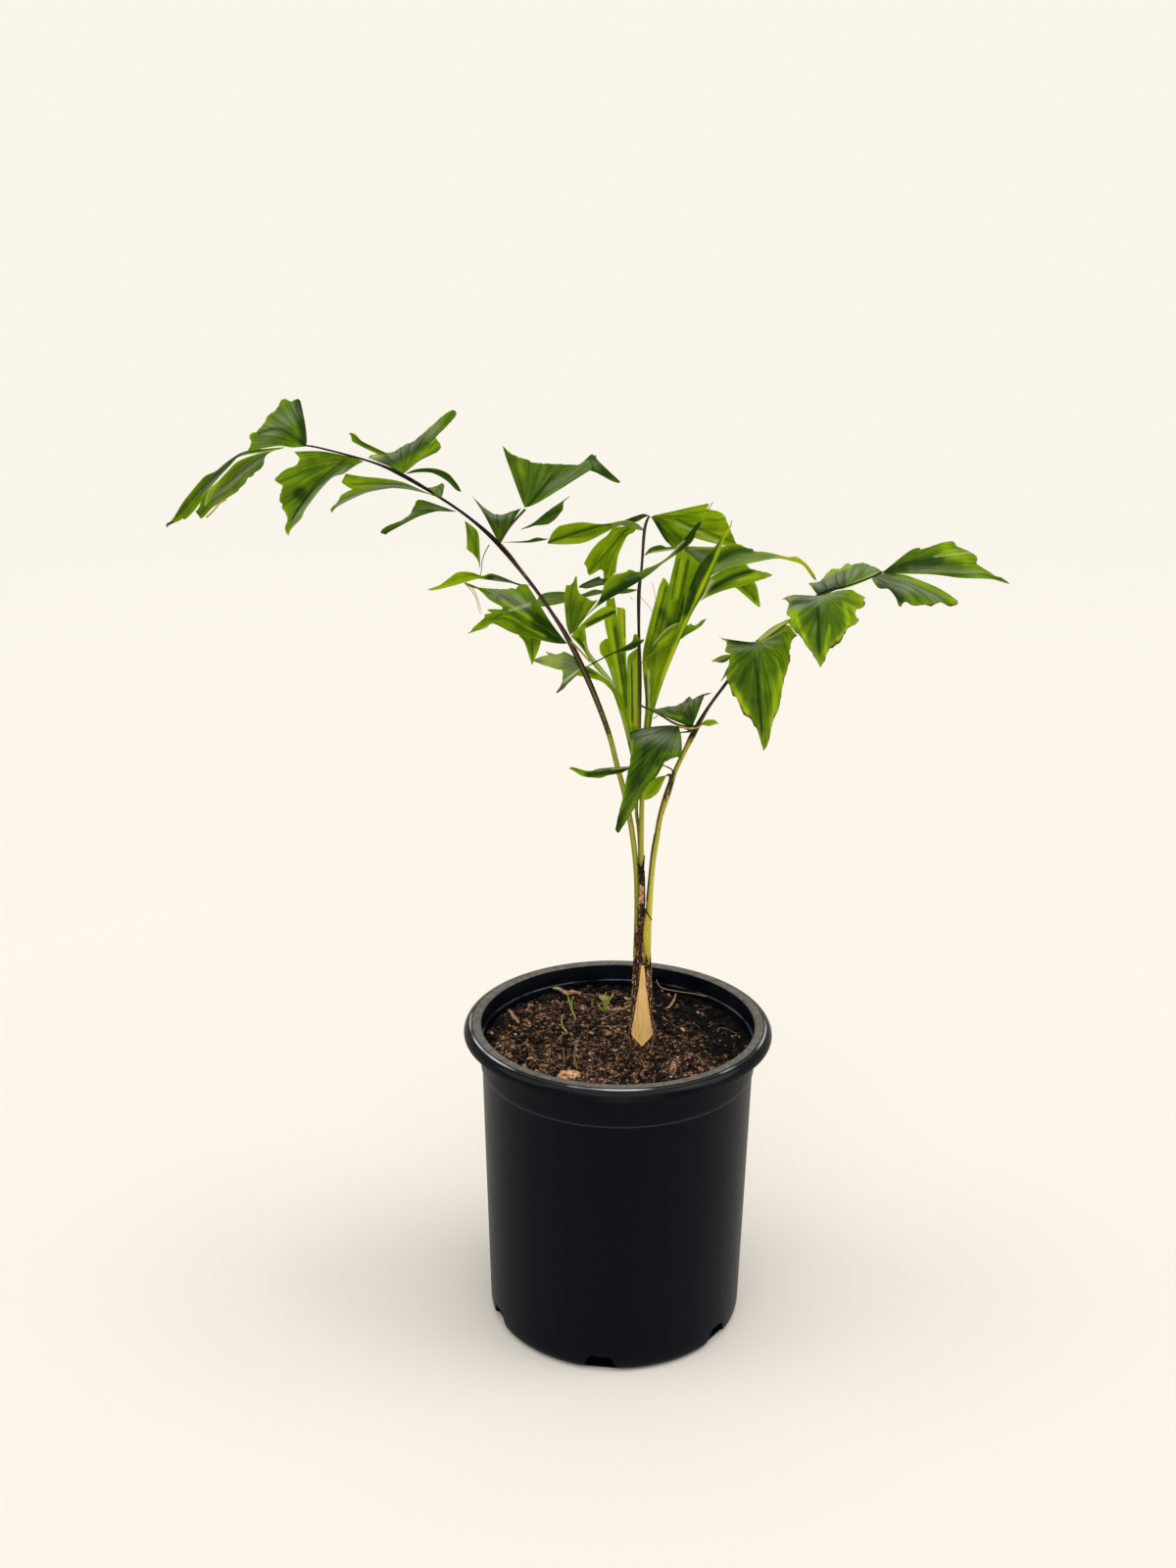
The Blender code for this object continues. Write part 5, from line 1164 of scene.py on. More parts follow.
class PALM_OT_left_frond(bpy.types.Operator):
    """Grows the left frond: its stalk, side branch and cut leaflets"""
    bl_idname = "palm.left_frond"
    bl_label = "Left frond"

    def execute(self, context):
        bars = [rachis(
            LEFT_RACHIS, (9, 10, 13, 16), 0.5, 16,
            (290, 0.6, 0.35, 0.5, 0.3, 0, 0), (335, 0.5, 0.2, 0.4, 0.1, 0, 0), (352, 0.4, 0, 0.3, 0.05, 0, 0),
            (442, 0.4, 0, 0.3, 0.1, 0, 0), (450, 0.9, 0.6, 0.7, 0.6, 0.2, 0.1), (478, 1, 0.9, 1, 0.2, 0.1, 0.22),
            (500, 1, 1, 1, 0, 0, 0.22), (560, 1, 1, 1, 0, 0, 0.14), (575, 1, 1, 1, 0.1, 0, 0),
            (650, 1, 1, 1, 0, 0, 0))]
        bars += twigs(LEFT_TWIG) + threads(LEFT_THREADS)
        grow_frond("left_frond", "frond_left", bars, LEFT_LEAFLETS, 1)
        return {"FINISHED"}


RIGHT_RACHIS = [
    (19.6, -9, 278, 1.9), (19.6, -11.4, 288, 2.5), (19.2, -12, 298, 3.1), (19.4, -12, 310, 2.9),
    (20.6, -10.6, 324, 2.2), (21.3, -9, 338, 2.0), (22.2, -7.6, 350, 2.0), (23.3, -6.4, 360, 2.0),
    (25.0, -6, 372, 2.0), (27.2, -6.2, 387, 1.9), (31.5, -6.8, 403, 1.8), (36.2, -7.8, 419, 1.7),
    (42.8, -9, 435, 1.7), (47.9, -10.6, 447, 1.6),
    (56.5, -16, 466, 1.2), (67.5, -20, 484, 1.1), (87, -28, 515, 0.9), (106, -34, 530, 0.7),
    (123, -40, 549, 0.6), (141, -48, 557, 0.5), (155, -54, 564, 0.5), (161, -57, 568, 0.5)]
# The dark seam along the stalk's yellow foot, and the twigs that carry the lower leaflets
RIGHT_TWIGS = [
    [(23.2, -7.4, 374, 0.3), (21.5, -7.8, 362, 0.4), (20.4, -8.8, 350, 0.4), (19.4, -10.2, 338, 0.4),
     (18.4, -12.2, 326, 0.4)],
    [(48.0, -14, 451, 1.2), (44.7, -15, 450, 0.8), (40.5, -20, 451, 0.5), (35.6, -26, 452, 0.4)],
    [(47.4, -14, 449, 0.9), (42.5, -17, 453, 0.8), (36.9, -24, 456, 0.8)],
    [(32.7, -7.5, 410, 0.8), (33.2, -9, 417, 1.1), (30.4, -12, 418, 0.5)],
    [(34.6, -7.5, 416, 0.5), (34.4, -10, 421, 0.5), (30.9, -12, 424, 0.5), (26.2, -13, 426, 0.3)],
    [(35.8, -8, 418, 0.7), (33.9, -9, 414, 0.7), (32.7, -9, 407, 0.4)]]
RIGHT_LEAFLETS = [
    ((160.5, -57, 567.5), (3, 2, 16, 12, 21, 14.5), (23.5, 15, 27, 14, 41, 18.5, 45, 19, 45.5, 17.5, 48, 16, 54.5,
     13.5, 59, 10.5, 58.5, 7.5, 59.5, 6, 66, 2.5, 70.5, -0.5, 73.5, -1, 76, -2, 78, -4), (6, -0.5, 30, 0, 48, -1.5,
     66, -1.5, 74, -3), (-0.13, 0.54), "grown", (("lit", 4, 0.3, (40, 15, 51, 9)), ("pale", 0.5, 0.5, (33, 10, 54,
     13)), ("grey", 2, 0.4, (18, 2, 39, 3, 60, 1)), ("deep", 2.5, 0.5, (3, 1, 36, 8)), ("dark", 0.7, 0.6, (3, 0, 51,
     0)))),
    ((157, -54, 565.5), (4, 1, 16, 1, 21.5, 0, 35, -4.5, 43, -8.5), (46.5, -11, 49.5, -12.5, 49.5, -14, 48.5, -15,
     46.5, -15.5, 44.5, -16, 40, -14, 37.5, -14.5, 34, -16.5, 32, -16.5, 29.5, -16, 23, -17, 19, -15, 17, -16, 16,
     -18, 14.5, -18), (-2, -2.5, 1, -7, 3, -8, 8, -8, 12.5, -13, 13.5, -16), (-0.28, 0.37), "grown", (("grey", 4, 0.8,
     (2, -1, 19, -7)), ("grey", 2.5, 0.7, (19, -4, 39, -12)), ("lit", 2, 0.2, (25, -2, 46, -13)), ("deep", 3, 0.5, (4,
     -6, 11, -8, 15, -13))), {"burnt": 0.8}),
    ((140.5, -34, 552), (-6, -0.5, -15, -3.5, -17, -3, -21.5, 2.5), (-23, 4, -22, 4.5, -16, 5, -10, 10.5, -7.5, 12,
     -2.5, 12, 2.5, 15, 4, 15, 5.5, 14, 12, 15, 16, 14, 22.5, 11.5, 25.5, 9), (6, 1.5, 18.5, 5.5), (0.23, 0.55),
     "grown", (("grey", 4, 0.85, (-13, 4, 13, 11, 24, 9)), ("deep", 3.5, 0.8, (-17, -1, -2, 6)), ("grey", 2.5, 0.8,
     (-21, 4, -16, 3)), ("lit", 2, 0.4, (-12, 8, 5, 14)), ("pale", 0.5, 0.5, (1, 1, 22, 8)))),
    ((127.5, -45, 550.5), (-4.5, -1, -21.5, -1), (-28, -3.5, -25.5, -3, -24.5, -4, -23.5, -6, -25, -11, -23.5, -13,
     -22.5, -13, -23, -17.5, -22, -19.5, -17.5, -23, -14, -27, -13, -29.5, -9.5, -32.5, -8.5, -35, -6, -38, -5.5, -40,
     -4.5, -40.5, -1.5, -36.5, -1, -34.5, 1.5, -30.5, 2.5, -29.5, 3.5, -30, 6.5, -27.5, 8.5, -26.5, 12.5, -20, 14.5,
     -18, 18, -16.5, 21, -14, 20, -13.5, 18.5, -9, 23.5, -6.5, 25, -5, 25, -3.5, 24, -2, 25, -1, 17, 3), (5, 1.5, 9,
     2.5, 14, 3), (-0.07, 0.71), "grown", (("grey", 1.5, 0.7, (-27, -3, 0, -1)), ("grey", 2, 0.7, (-25, -7, -13, -6,
     12, 2)), ("deep", 1.5, 0.56, (-21, -5, -11, -4)), ("deep", 0.8, 0.6, (-5, -8, -5, -33)), ("deep", 5, 0.1, (-9,
     -10, -8, -24)), ("lit", 1.2, 0.35, (12, -6, 14, -18, 7, -25)), ("lit", 1.2, 0.3, (2, -18, -2, -33)), ("lit", 1,
     0.3, (-19, -13, -13, -27)), ("dry", 1, 0.8, (2, -30, 12, -23)), ("grey", 2, 0.3, (-3, -3, -2, -8))), {"light":
     (0.32, 0.25, 0.36), "margin": 0.3, "burnt": 0.5}),
    ((87.5, -32, 516), (-4, 0, -8, 0, -23, 2), (-26, 3, -21, -0.5, -22, -5, -20.5, -7, -18.5, -7.5, -21, -19.5, -21,
     -22, -18.5, -28, -17, -32, -14, -34.5, -11, -41.5, -9, -44, -6, -45.5, -4, -48, -3, -50.5, -1, -52.5, 2.5, -63.5,
     3.5, -64.5, 6.5, -58.5, 9, -47.5, 13, -39.5, 16, -24.5, 20.5, -10.5, 20, -7, 21, -1.5, 22, 1.5, 23.5, 3, 25, 4),
     (3.5, 2, 17, 10, 20, 9.5, 22.5, 6.5), (-0.01, 0.46), "grown", (("grey", 1.8, 0.6, (-21, -2, -12, -4, -3, -3, 14,
     1)), ("deep", 1.5, 0.56, (-19, 0, -4, -1)), ("deep", 0.7, 0.7, (-2, -10, 2, -54)), ("deep", 6, 0.12, (-10, -12,
     -7, -29)), ("lit", 2.5, 0.3, (14, -20, 8, -49)), ("lit", 1.6, 0.35, (-17, -26, -7, -44)), ("grey", 0.8, 0.35,
     (-1, -5, -1, -15)), ("pale", 0.5, 0.5, (2, 0, 18, 8)), ("dry", 0.8, 0.7, (-17, -32, -11, -41, -4, -48, 0, -56))),
     {"light": (0.28, 0.25, 0.34), "margin": 0.25, "burnt": 0.5}),
    ((84.5, -33, 515), (3.5, 5, 11, 12.5, 19, 17.5), (21.5, 18.5, 22.5, 15), (6.5, 4, 18.5, 14.5), (-0.25, -0.1),
     "lit", (("pale", 1.2, 0.7, (4, 4, 18, 16)),)),
    ((71.5, -25, 505.5), (-2.5, 0.5, -7.5, 0, -11, -2), (-14, -4), (-2.5, -3, -6, -5, -10.5, -4.5), (0.17, -0.16),
     "grown", (("pale", 0.7, 0.6, (-2, 0, -12, -4)),)),
    ((70.5, -21, 496.5), (-2, -0.5, -4.5, -6), (-6.5, -9.5), (-1, -3, -4.5, -7.5), (0.19, 0.27), "grown"),
    ((36, -27, 457), (-4, 1, -17, 1, -26.5, 0), (-29, -1.5, -32, -2.5, -30.5, -7.5, -31, -21, -32, -25, -35.5, -42.5,
     -40, -62.5, -39, -67, -37.5, -66, -28, -51, -26, -46.5, -19.5, -37, -14.5, -33, -10, -25, -9.5, -22.5, -8, -23,
     -1.5, -20.5, 1, -20.5, 2.5, -21), (1, 0, 3, -7, 3.5, -19), (0.31, 0.16), "deep", (("grey", 5, 0.75, (-21, -4,
     -10, -6, 0, -11)), ("grey", 2, 0.5, (-29, -5, -17, -2)), ("deep", 2.5, 0.9, (-30, -2, -1, 0)), ("lit", 2.5, 0.25,
     (-12, -18, 0, -17)), ("lit", 2, 0.3, (-15, -27, -23, -38, -35, -60)), ("pale", 0.6, 0.5, (-30, -8, -30, -17)),
     ("lit", 1.2, 0.3, (-33, -32, -37, -51)), ("deep", 1.2, 0.5, (-6, -6, -25, -36)), ("deep", 1.2, 0.5, (-18, -4,
     -29, -39)))),
    ((31, -15, 419), (-3.5, 0, -8, -1, -12, -3, -15, -5.5), (-16.5, -9.5, -16.5, -12.5, -15.5, -15), (-1, -0.5, -5.5,
     -9.5, -8.5, -12.5, -12, -14.5), (0.29, 0.24), "lit", (("dark", 0.5, 0.5, (-2, -1, -14, -12)),)),
    ((9, -19, 426), (-5.5, 0.5, -24, -0.5, -28.5, -2, -33.5, -2, -42, 0.5), (-44.5, -0.5), (-5.5, -2, -9.5, -4, -18.5,
     -5.5, -22.5, -7, -27, -7, -35, -6, -41.5, -2), (0.06, 0.01), "grown", (("grey", 1.2, 0.6, (-25, -2, -15, -1)),
     ("deep", 1.3, 0.9, (-32, -5, -5, -1)), ("dark", 0.7, 0.8, (-17, -4, -2, -1)), ("pale", 0.6, 0.7, (-15, -1, -5,
     0)))),
]


class PALM_OT_right_frond(bpy.types.Operator):
    """Grows the right frond: its stalk with the yellowed foot, and its hanging leaflets"""
    bl_idname = "palm.right_frond"
    bl_label = "Right frond"

    def execute(self, context):
        bars = [rachis(
            RIGHT_RACHIS, (10, 13, 16), 0.5, 16,
            (285, 0.2, 0, 0, 0.05, 0.6, 0), (308, 0.3, 0, 0, 0.1, 0.9, 0.1), (345, 0.6, 0, 0, 0.1, 0.6, 0.1),
            (370, 0.8, 0, 0, 0.1, 0.1, 0), (398, 0.9, 0, 0, 0.2, 0.2, 0), (408, 1, 0.3, 0.1, 0.75, 0.5, 0.1),
            (424, 0.9, 0, 0, 0.2, 0.5, 0), (440, 0.7, 0.1, 0, 0.3, 0.6, 0.1), (447, 1, 1, 0.9, 0.1, 0, 0),
            (456, 1, 1, 0.4, 0.1, 0.1, 0.1), (480, 1, 1, 0.7, 0, 0, 0.1), (490, 1, 1, 0.9, 0, 0, 0),
            (570, 1, 1, 1, 0, 0, 0))]
        bars += twigs(*RIGHT_TWIGS)
        grow_frond("right_frond", "frond_right", bars, RIGHT_LEAFLETS, 25)
        return {"FINISHED"}


MIDDLE_RACHIS = [
    (14, -4, 298, 1.3), (13.9, -4, 325, 1.3), (13.8, -4, 350, 1.3), (12.6, -5, 374, 1.2),
    (10.6, -9, 391, 1.2), (10.8, -13.2, 408, 1.2), (11.4, -15, 430, 1.2), (11.3, -15, 467, 1.1),
    (11, -15, 493, 1.1), (10.2, -10, 517, 1.0), (10.2, 2, 541, 1.0), (12, 12, 555, 0.9),
    (14, 28, 578, 0.8), (17, 34, 586, 0.7)]
MIDDLE_TWIG = [(11.6, -15, 468, 0.8), (14.8, -16.5, 467, 0.7), (20.0, -18, 465, 0.7), (26.5, -20, 462, 0.7),
               (33.7, -21.5, 458, 0.8), (40.2, -22.5, 456, 0.8), (47.4, -23, 456, 0.8), (52.5, -23, 458, 0.5)]
MIDDLE_THREADS = [
    (0.5, PALE_THREAD, [(35.5, -24.5, 457), (41, -24.5, 455.5), (47.5, -24.5, 455), (52.5, -24.5, 457)]),
    (0.3, DARK_TWIG, [(20.5, -19, 460), (23.5, -19, 462)])]
MIDDLE_LEAFLETS = [
    ((47, -22, 456), (-5, 0.5, -14.5, 4.5, -21.5, 8), (-28, 10.5, -26.5, 11.5, -23.5, 12, -18, 14, -13, 15, -8.5,
     17.5, -4, 22, -2.5, 22, -0.5, 20.5, 5, 24.5, 11, 25.5), (0.5, 3, 2, 7.5, 6, 22.5, 7, 23.5), (-0.09, -0.35),
     "deep", (("grey", 4, 0.6, (-23, 11, 1, 21)), ("lit", 1.5, 0.4, (-18, 8, -8, 6)), ("pale", 0.4, 0.5, (-4, 17, -7,
     12)))),
    ((50.5, -23, 457), (2, 1, 4.5, 3.5, 7.5, 4, 10.5, 4, 11.5, 3), (13.5, 1.5), (1.5, 0, 4.5, 0, 7, -0.5, 11, 1),
     (-0.09, 0), "lit"),
    ((11, -15, 494), (1.5, 3.5, 3.5, 7.5, 6, 11, 11, 20, 17, 27, 21.5, 30.5, 26, 31.5, 31, 29.5, 32.5, 31, 34.5, 29.5,
     37, 30, 40, 33), (43, 34), (2, 4, 4.5, 7, 9.5, 9.5, 17.5, 16, 27, 20.5, 29.5, 22.5, 37.5, 27.5, 40.5, 30),
     (-0.02, -0.07), "grown", (("pale", 0.6, 0.75, (5, 12, 17, 27, 25, 31)), ("lit", 1.5, 0.3, (12, 17, 23, 26)))),
    ((10, 3, 549), (-7.5, 0.5, -24.5, -1, -26, 0.5, -37, -5.5), (-40, -8.5), (-7.5, -3, -17.5, -5, -24.5, -5.5, -33.5,
     -8.5, -37, -8.5), (-0.36, -0.03), "deep", (("grey", 1.2, 0.6, (-34, -6, -24, -3)),)),
    ((10, 0, 543), (-7.5, 0, -23, -2.5, -27, -2.5, -30.5, -3, -39, -7, -47, -6, -56.5, -6.5, -64.5, -9), (-68, -13.5),
     (-7.5, -3, -17.5, -4.5, -23, -4.5, -62.5, -17.5), (-0.41, -0.02), "bloomed", (("dark", 0.6, 0.6, (-4, -2, -34,
     -7)),)),
    ((13.5, 17, 562.5), (2, 2.5, 4, 5, 9, 6.5, 12.5, 6.5, 15, 5, 26.5, 5.5), (28.5, 4.5), (2, 0.5, 4.5, 1.5, 23.5,
     3.5), (0.27, 0.08), "grown", (("pale", 0.7, 0.6, (5, 2, 25, 4)),)),
    ((39, 25, 567), (3, 0.5, 23, -0.5, 32.5, 0.5), (41.5, 0.5, 33, -3.5), (2.5, -3.5, 10, -13, 14, -14, 21, -8, 26.5,
     -4.5), (0.17, -0.09), "bloomed", (("lit", 1.5, 0.4, (6, -1, 36, -1)),)),
    ((14, 28, 577.5), (-2.5, 2.5, -5, 4.5, -8.5, 5.5, -14.5, 6, -28, 3, -42, 4, -54.5, 1.5, -58, 0, -62, -4.5, -64,
     -9), (-65.5, -11.5), (-3, 0, -11.5, 1.5, -18, 2, -38, -9, -51, -11.5, -62.5, -12), (-0.2, 0), "lit", (("dark",
     1.1, 1, (-65, -11, -31, 2, -23, 3)), ("grey", 2.5, 0.9, (-17, 4, -10, 5, -2, 1)))),
    ((9, 24, 581), (-3.5, 0, -10, -0.5, -16, -1.5, -20, -6.5, -25, -10.5, -29.5, -15.5, -33, -21), (-35.5, -26.5, -34,
     -28, -32, -34.5, -23.5, -30, -21.5, -39.5, -18, -35.5, -14, -32), (-2, -4, -6, -6, -9, -11.5, -12.5, -20.5),
     (-0.04, -0.07), "lit", (("dark", 0.8, 0.8, (-6, -1, -32, -32)),)),
    ((17, 34, 586.5), (-4, 1, -10, -1, -14.5, -3), (-18, -4.5), (-4, -2, -8, -4.5, -11.5, -5), (-0.15, -0.03),
     "deep"),
    ((19.5, 34, 586.5), (9, 1.5, 29, 5.5), (38, 7, 38, 4.5, 36.5, 3.5, 44.5, 1.5, 48, -0.5, 50, -3.5, 58, -21.5), (8,
     -5, 16, -10, 26, -15, 38, -19, 50, -22), (0.23, 0.04), "lit", (("pale", 1.2, 0.45, (16, -6, 47, -20)), ("dark",
     0.8, 0.75, (16, -3, 58, -21)), ("dark", 0.6, 0.5, (6, 0, 43, -4)))),
    ((18, 33, 586), (3, -4.5, 9, -14.5, 12.5, -18.5), (15.5, -21.5, 22.5, -18, 25.5, -15.5, 27.5, -12), (7.5, -0.5,
     23.5, -9.5), (0.05, -0.01), "grown", (("dark", 0.7, 0.7, (3, -3, 18, -18)), ("deep", 2, 0.5, (4, -6, 11, -17)))),
]


class PALM_OT_middle_frond(bpy.types.Operator):
    """Grows the middle frond: a thin dark stalk that stands behind, and its leaflets"""
    bl_idname = "palm.middle_frond"
    bl_label = "Middle frond"

    def execute(self, context):
        bars = [rachis(
            MIDDLE_RACHIS, (7, 8, 10, 12), 0.3, 14,
            (300, 0.6, 0.4, 0.7, 0.3, 0, 0), (440, 0.3, 0.4, 0.8, 0.2, 0, 0), (475, 0.8, 0.9, 1, 0.1, 0, 0),
            (520, 1, 1, 0.9, 0.1, 0, 0), (590, 1, 1, 0.9, 0, 0, 0.1))]
        bars += twigs(MIDDLE_TWIG) + threads(MIDDLE_THREADS)
        grow_frond("middle_frond", "frond_middle", bars, MIDDLE_LEAFLETS, 36)
        return {"FINISHED"}


YOUNG_STALK = [
    (16.3, -9.3, 298, 1.35), (16.2, -9.6, 320, 1.5), (15, -10, 345, 1.7), (14.2, -10, 369, 1.8),
    (14.2, -10, 402, 1.6), (14.8, -9.6, 425, 1.5), (16.4, -8.4, 446, 1.3), (18, -8, 464, 1.0)]
YOUNG_THREADS = [
    (0.2, PALE_THREAD, [(11, -13, 541), (15, -13, 536.5), (19, -13, 531.5)]),
    (0.2, PALE_THREAD, [(18.5, -13, 550.5), (20, -13, 544), (21, -13, 538.5)]),
    (0.2, PALE_THREAD, [(4, -6, 540), (6, -6, 537.5)]),
    (0.25, DARK_TWIG, [(52.5, -28, 601), (54.5, -28, 604.5), (55.5, -28, 606)]),
    (0.25, DARK_TWIG, [(67, -31, 591), (67.5, -31, 595)])]
YOUNG_LEAFLETS = [
    ((9, -9, 418), (-3, 13, -8, 33, -14.5, 53, -18.5, 58.5, -22, 61.5, -27, 63.5, -37.5, 65.5), (-42.5, 66.5), (-1.5,
     13, -5.5, 34, -13.5, 56.5, -19, 63, -29.5, 70.5, -35, 72), (-0.03, 0.14), "young", (("deep", 2, 0.4, (-32, 69,
     -28, 67)), ("pale", 0.7, 0.5, (-10, 43, -4, 23)))),
    ((10, -9, 418), (-3.5, 14.5, -5.5, 27.5, -15.5, 56.5, -20, 63.5, -25.5, 68, -30.5, 74, -36.5, 83, -40.5, 87.5),
     (-44.5, 91.5, -42.5, 95.5, -40, 98, -35.5, 97.5), (-1.5, 16.5, -4.5, 29.5, -13.5, 56.5, -22, 69, -31.5, 80.5,
     -34, 87, -34.5, 91.5), (-0.03, 0.14), "young", (("pale", 0.7, 0.7, (-36, 88, -30, 77, -15, 59)), ("deep", 1.5,
     0.5, (-41, 91, -36, 85)))),
    ((9, -6, 424), (-4.5, 19.5, -6.5, 28, -19, 66, -23.5, 72.5), (-24.5, 76.5, -24.5, 79, -23, 81.5, -21, 83, -19,
     83), (-2, 13, -5.5, 24.5, -11.5, 58.5, -14, 72.5, -17, 80.5), (-0.08, 0.18), "lit", (("pale", 0.9, 0.6, (-16, 64,
     -10, 42)),)),
    ((10.5, -9, 418), (-5, 23, -20, 88, -23, 102.5, -22, 111), (-21.5, 116.5, -16.5, 118), (-3, 26.5, -5.5, 39.5,
     -6.5, 49.5, -9.5, 69, -12, 83, -14.5, 104.5, -15.5, 112.5), (-0.08, 0.14), "young", (("lit", 0.9, 0.45, (-20,
     104, -11, 55)), ("deep", 1.4, 0.35, (-16, 98, -7, 46)))),
    ((10.5, -9, 418), (-3.5, 23, -6.5, 42.5, -8, 59, -13.5, 91.5, -14.5, 108), (-15, 111.5, -10.5, 111, -9, 109.5),
     (-3, 26.5, -7.5, 65.5, -9, 105), (-0.08, 0.14), "young", (("lit", 1, 0.5, (-12, 110, -10, 88)), ("deep", 1.2,
     0.3, (-9, 105, -9, 92)), ("deep", 1.4, 0.35, (-11, 80, -6, 43)))),
    ((12, -9, 418), (-4.5, 20, -8, 43, -8.5, 53, -9, 76), (-7.5, 81, -3, 85, -1, 85.5), (0.5, 20, 0, 59.5, -1, 80.5),
     (-0.06, 0.12), "young", (("lit", 0.7, 0.4, (-7, 73, -6, 33)), ("pale", 0.4, 0.3, (-5, 76, -4, 36)), ("lit", 1,
     0.5, (-3, 78, -3, 33)), ("deep", 0.8, 0.6, (-6, 73, -5, 36)), ("deep", 0.8, 0.5, (-1, 79, -1, 60)))),
    ((16, -8, 417.5), (-2, 21, -0.5, 48.5, -2, 74.5), (-2, 79, 0, 81, 5, 84), (1.5, 21, 2, 33.5, 3, 47, 5.5, 65.5,
     5.5, 76), (0, -0.02), "young", (("pale", 0.7, 0.7, (1, 76, 2, 45)), ("dark", 0.5, 0.7, (4, 76, 3, 52)), ("deep",
     1, 0.5, (-1, 69, 0, 49)))),
    ((17.5, -7, 434.5), (-1, 16, -2, 35, -4.5, 62, -2.5, 79, 5, 111), (7, 115, 8, 118.5, 9, 119.5, 14, 114.5, 16.5,
     135.5, 18.5, 138, 22, 137.5, 31.5, 129.5), (2, 17.5, 4, 31.5, 7.5, 45.5, 21.5, 90, 28, 116.5), (-0.12, -0.04),
     "young", (("lit", 1.2, 0.25, (8, 114, 2, 82)), ("deep", 1, 0.3, (10, 113, 3, 82)), ("deep", 3, 0.35, (8, 96, 17,
     80)), ("lit", 1.2, 0.3, (20, 132, 17, 106)), ("deep", 0.9, 0.35, (18, 132, 14, 106)), ("deep", 0.9, 0.35, (24,
     131, 20, 106)), ("deep", 4, 0.4, (23, 103, 17, 86)))),
    ((17.5, -5, 434), (2, 18, 5.5, 43.5, 8.5, 57.5, 17, 85.5, 20.5, 99, 22.5, 111, 29.5, 130.5, 32.5, 135.5, 40.5,
     145, 43, 150, 46, 153.5), (49.5, 159), (0.5, 14.5, 7, 42, 14, 64.5, 26, 97, 34.5, 114.5, 41, 134, 45, 148, 48,
     153), (0, -0.18), "grown", (("lit", 1.0, 1.0, (49, 158, 30, 111)), ("lit", 1.0, 0.55, (30, 111, 12, 64, 4, 36)),
     ("deep", 4, 0.6, (26, 119, 37, 136)), ("deep", 2.5, 0.5, (23, 99, 27, 113)), ("lit", 1, 0.6, (9, 53, 17, 75)))),
    ((51, -26, 550), (3.5, 9.5, 8, 19.5, 11.5, 25.5, 15.5, 29, 20, 29.5, 27.5, 26.5, 31, 26, 31.5, 24.5, 39.5, 24, 54,
     21, 58.5, 21.5, 65, 17.5, 70, 11.5, 71.5, 8.5), (72.5, 6), (2.5, 3.5, 4.5, 8, 13.5, 12.5, 20, 14.5, 45, 20, 56,
     18.5, 61.5, 17, 65, 14.5, 70, 8), (-0.03, 0.03), "grown", (("grey", 3, 0.6, (9, 12, 20, 18, 32, 21, 45, 21)),
     ("deep", 3, 0.5, (10, 19, 20, 24, 29, 25)), ("lit", 2, 0.6, (48, 20, 61, 19, 69, 11)), ("dry", 1, 0.7, (59, 22,
     61, 21))), {"light": (0.5, 0.5, 0.5)}),
    ((49, -26, 541.5), (4.5, 11, 7.5, 16, 16, 20.5, 22, 22.5), (29.5, 24, 31, 22.5, 34, 21, 46.5, 18, 40, 15, 31.5,
     12), (1, 0.5, 5, 3, 16, 7.5, 27.5, 10.5), (-0.08, 0.16), "grown", (("deep", 2, 0.5, (5, 7, 19, 15, 32, 20)),
     ("lit", 1.5, 0.3, (25, 14, 36, 17)), ("pale", 1.3, 0.9, (7, 13, 1, 2))), {"light": (0.5, 0.45, 0.5)}),
    ((68.5, -20, 551), (6.5, 0.5, 16, 1.5, 20, -12), (20.5, -15), (4, -2, 6.5, -4, 17.5, -13.5), (0.2, 0.13), "lit",
     (("dark", 1, 0.8, (8, -1, 17, -10)),)),
]


class PALM_OT_young_frond(bpy.types.Operator):
    """Grows the young frond: the spear that is opening, with pleated pale green blades"""
    bl_idname = "palm.young_frond"
    bl_label = "Young frond"

    def execute(self, context):
        bars = [rachis(
            YOUNG_STALK, (), 0.0, 16,
            (300, 0.4, 0.1, 0.1, 0.2, 0, 0.1), (350, 0.5, 0.1, 0, 0.05, 0, 0.1), (470, 0.4, 0.1, 0, 0, 0, 0))]
        bars += threads(YOUNG_THREADS)
        grow_frond("young_frond", "frond_young", bars, YOUNG_LEAFLETS, 48)
        return {"FINISHED"}


# Seedling sprouts on the soil: the node that each replaces, its name and its stems as (x, y, z, radius)
SPROUTS = [
    ("sprout_thin", "thin_sprout", [
        [(-30, 38, 206, 0.6), (-30.5, 38, 212, 0.6), (-33, 38, 219, 0.55), (-36.5, 38, 232, 0.35)],
        [(-33, 38, 219, 0.4), (-33.5, 38, 224, 0.4), (-33, 38, 228, 0.3)]]),
    ("sprout_curled", "curled_sprout", [
        [(-35.5, 14, 206, 0.6), (-36.8, 14, 213, 0.6), (-39.3, 14, 217, 0.55), (-40.4, 14, 221, 0.5),
         (-40.2, 14, 225, 0.45), (-38.8, 14, 227.5, 0.3)]]),
    ("sprout_cluster", "cluster_sprout", [
        [(-8, 51, 206, 0.7), (-8.5, 51, 215, 0.7), (-10, 50, 221, 0.6), (-12.7, 49, 226, 0.4)],
        [(-8, 51, 213, 0.5), (-6, 50, 221, 0.6), (-2.5, 50, 227, 0.4)],
        [(-8, 51, 213, 0.5), (-8, 49, 220, 0.6), (-8.3, 48, 229, 0.4)],
        [(-9, 51, 212, 0.4), (-12.5, 50, 216, 0.5), (-14, 50, 219, 0.3)]])]
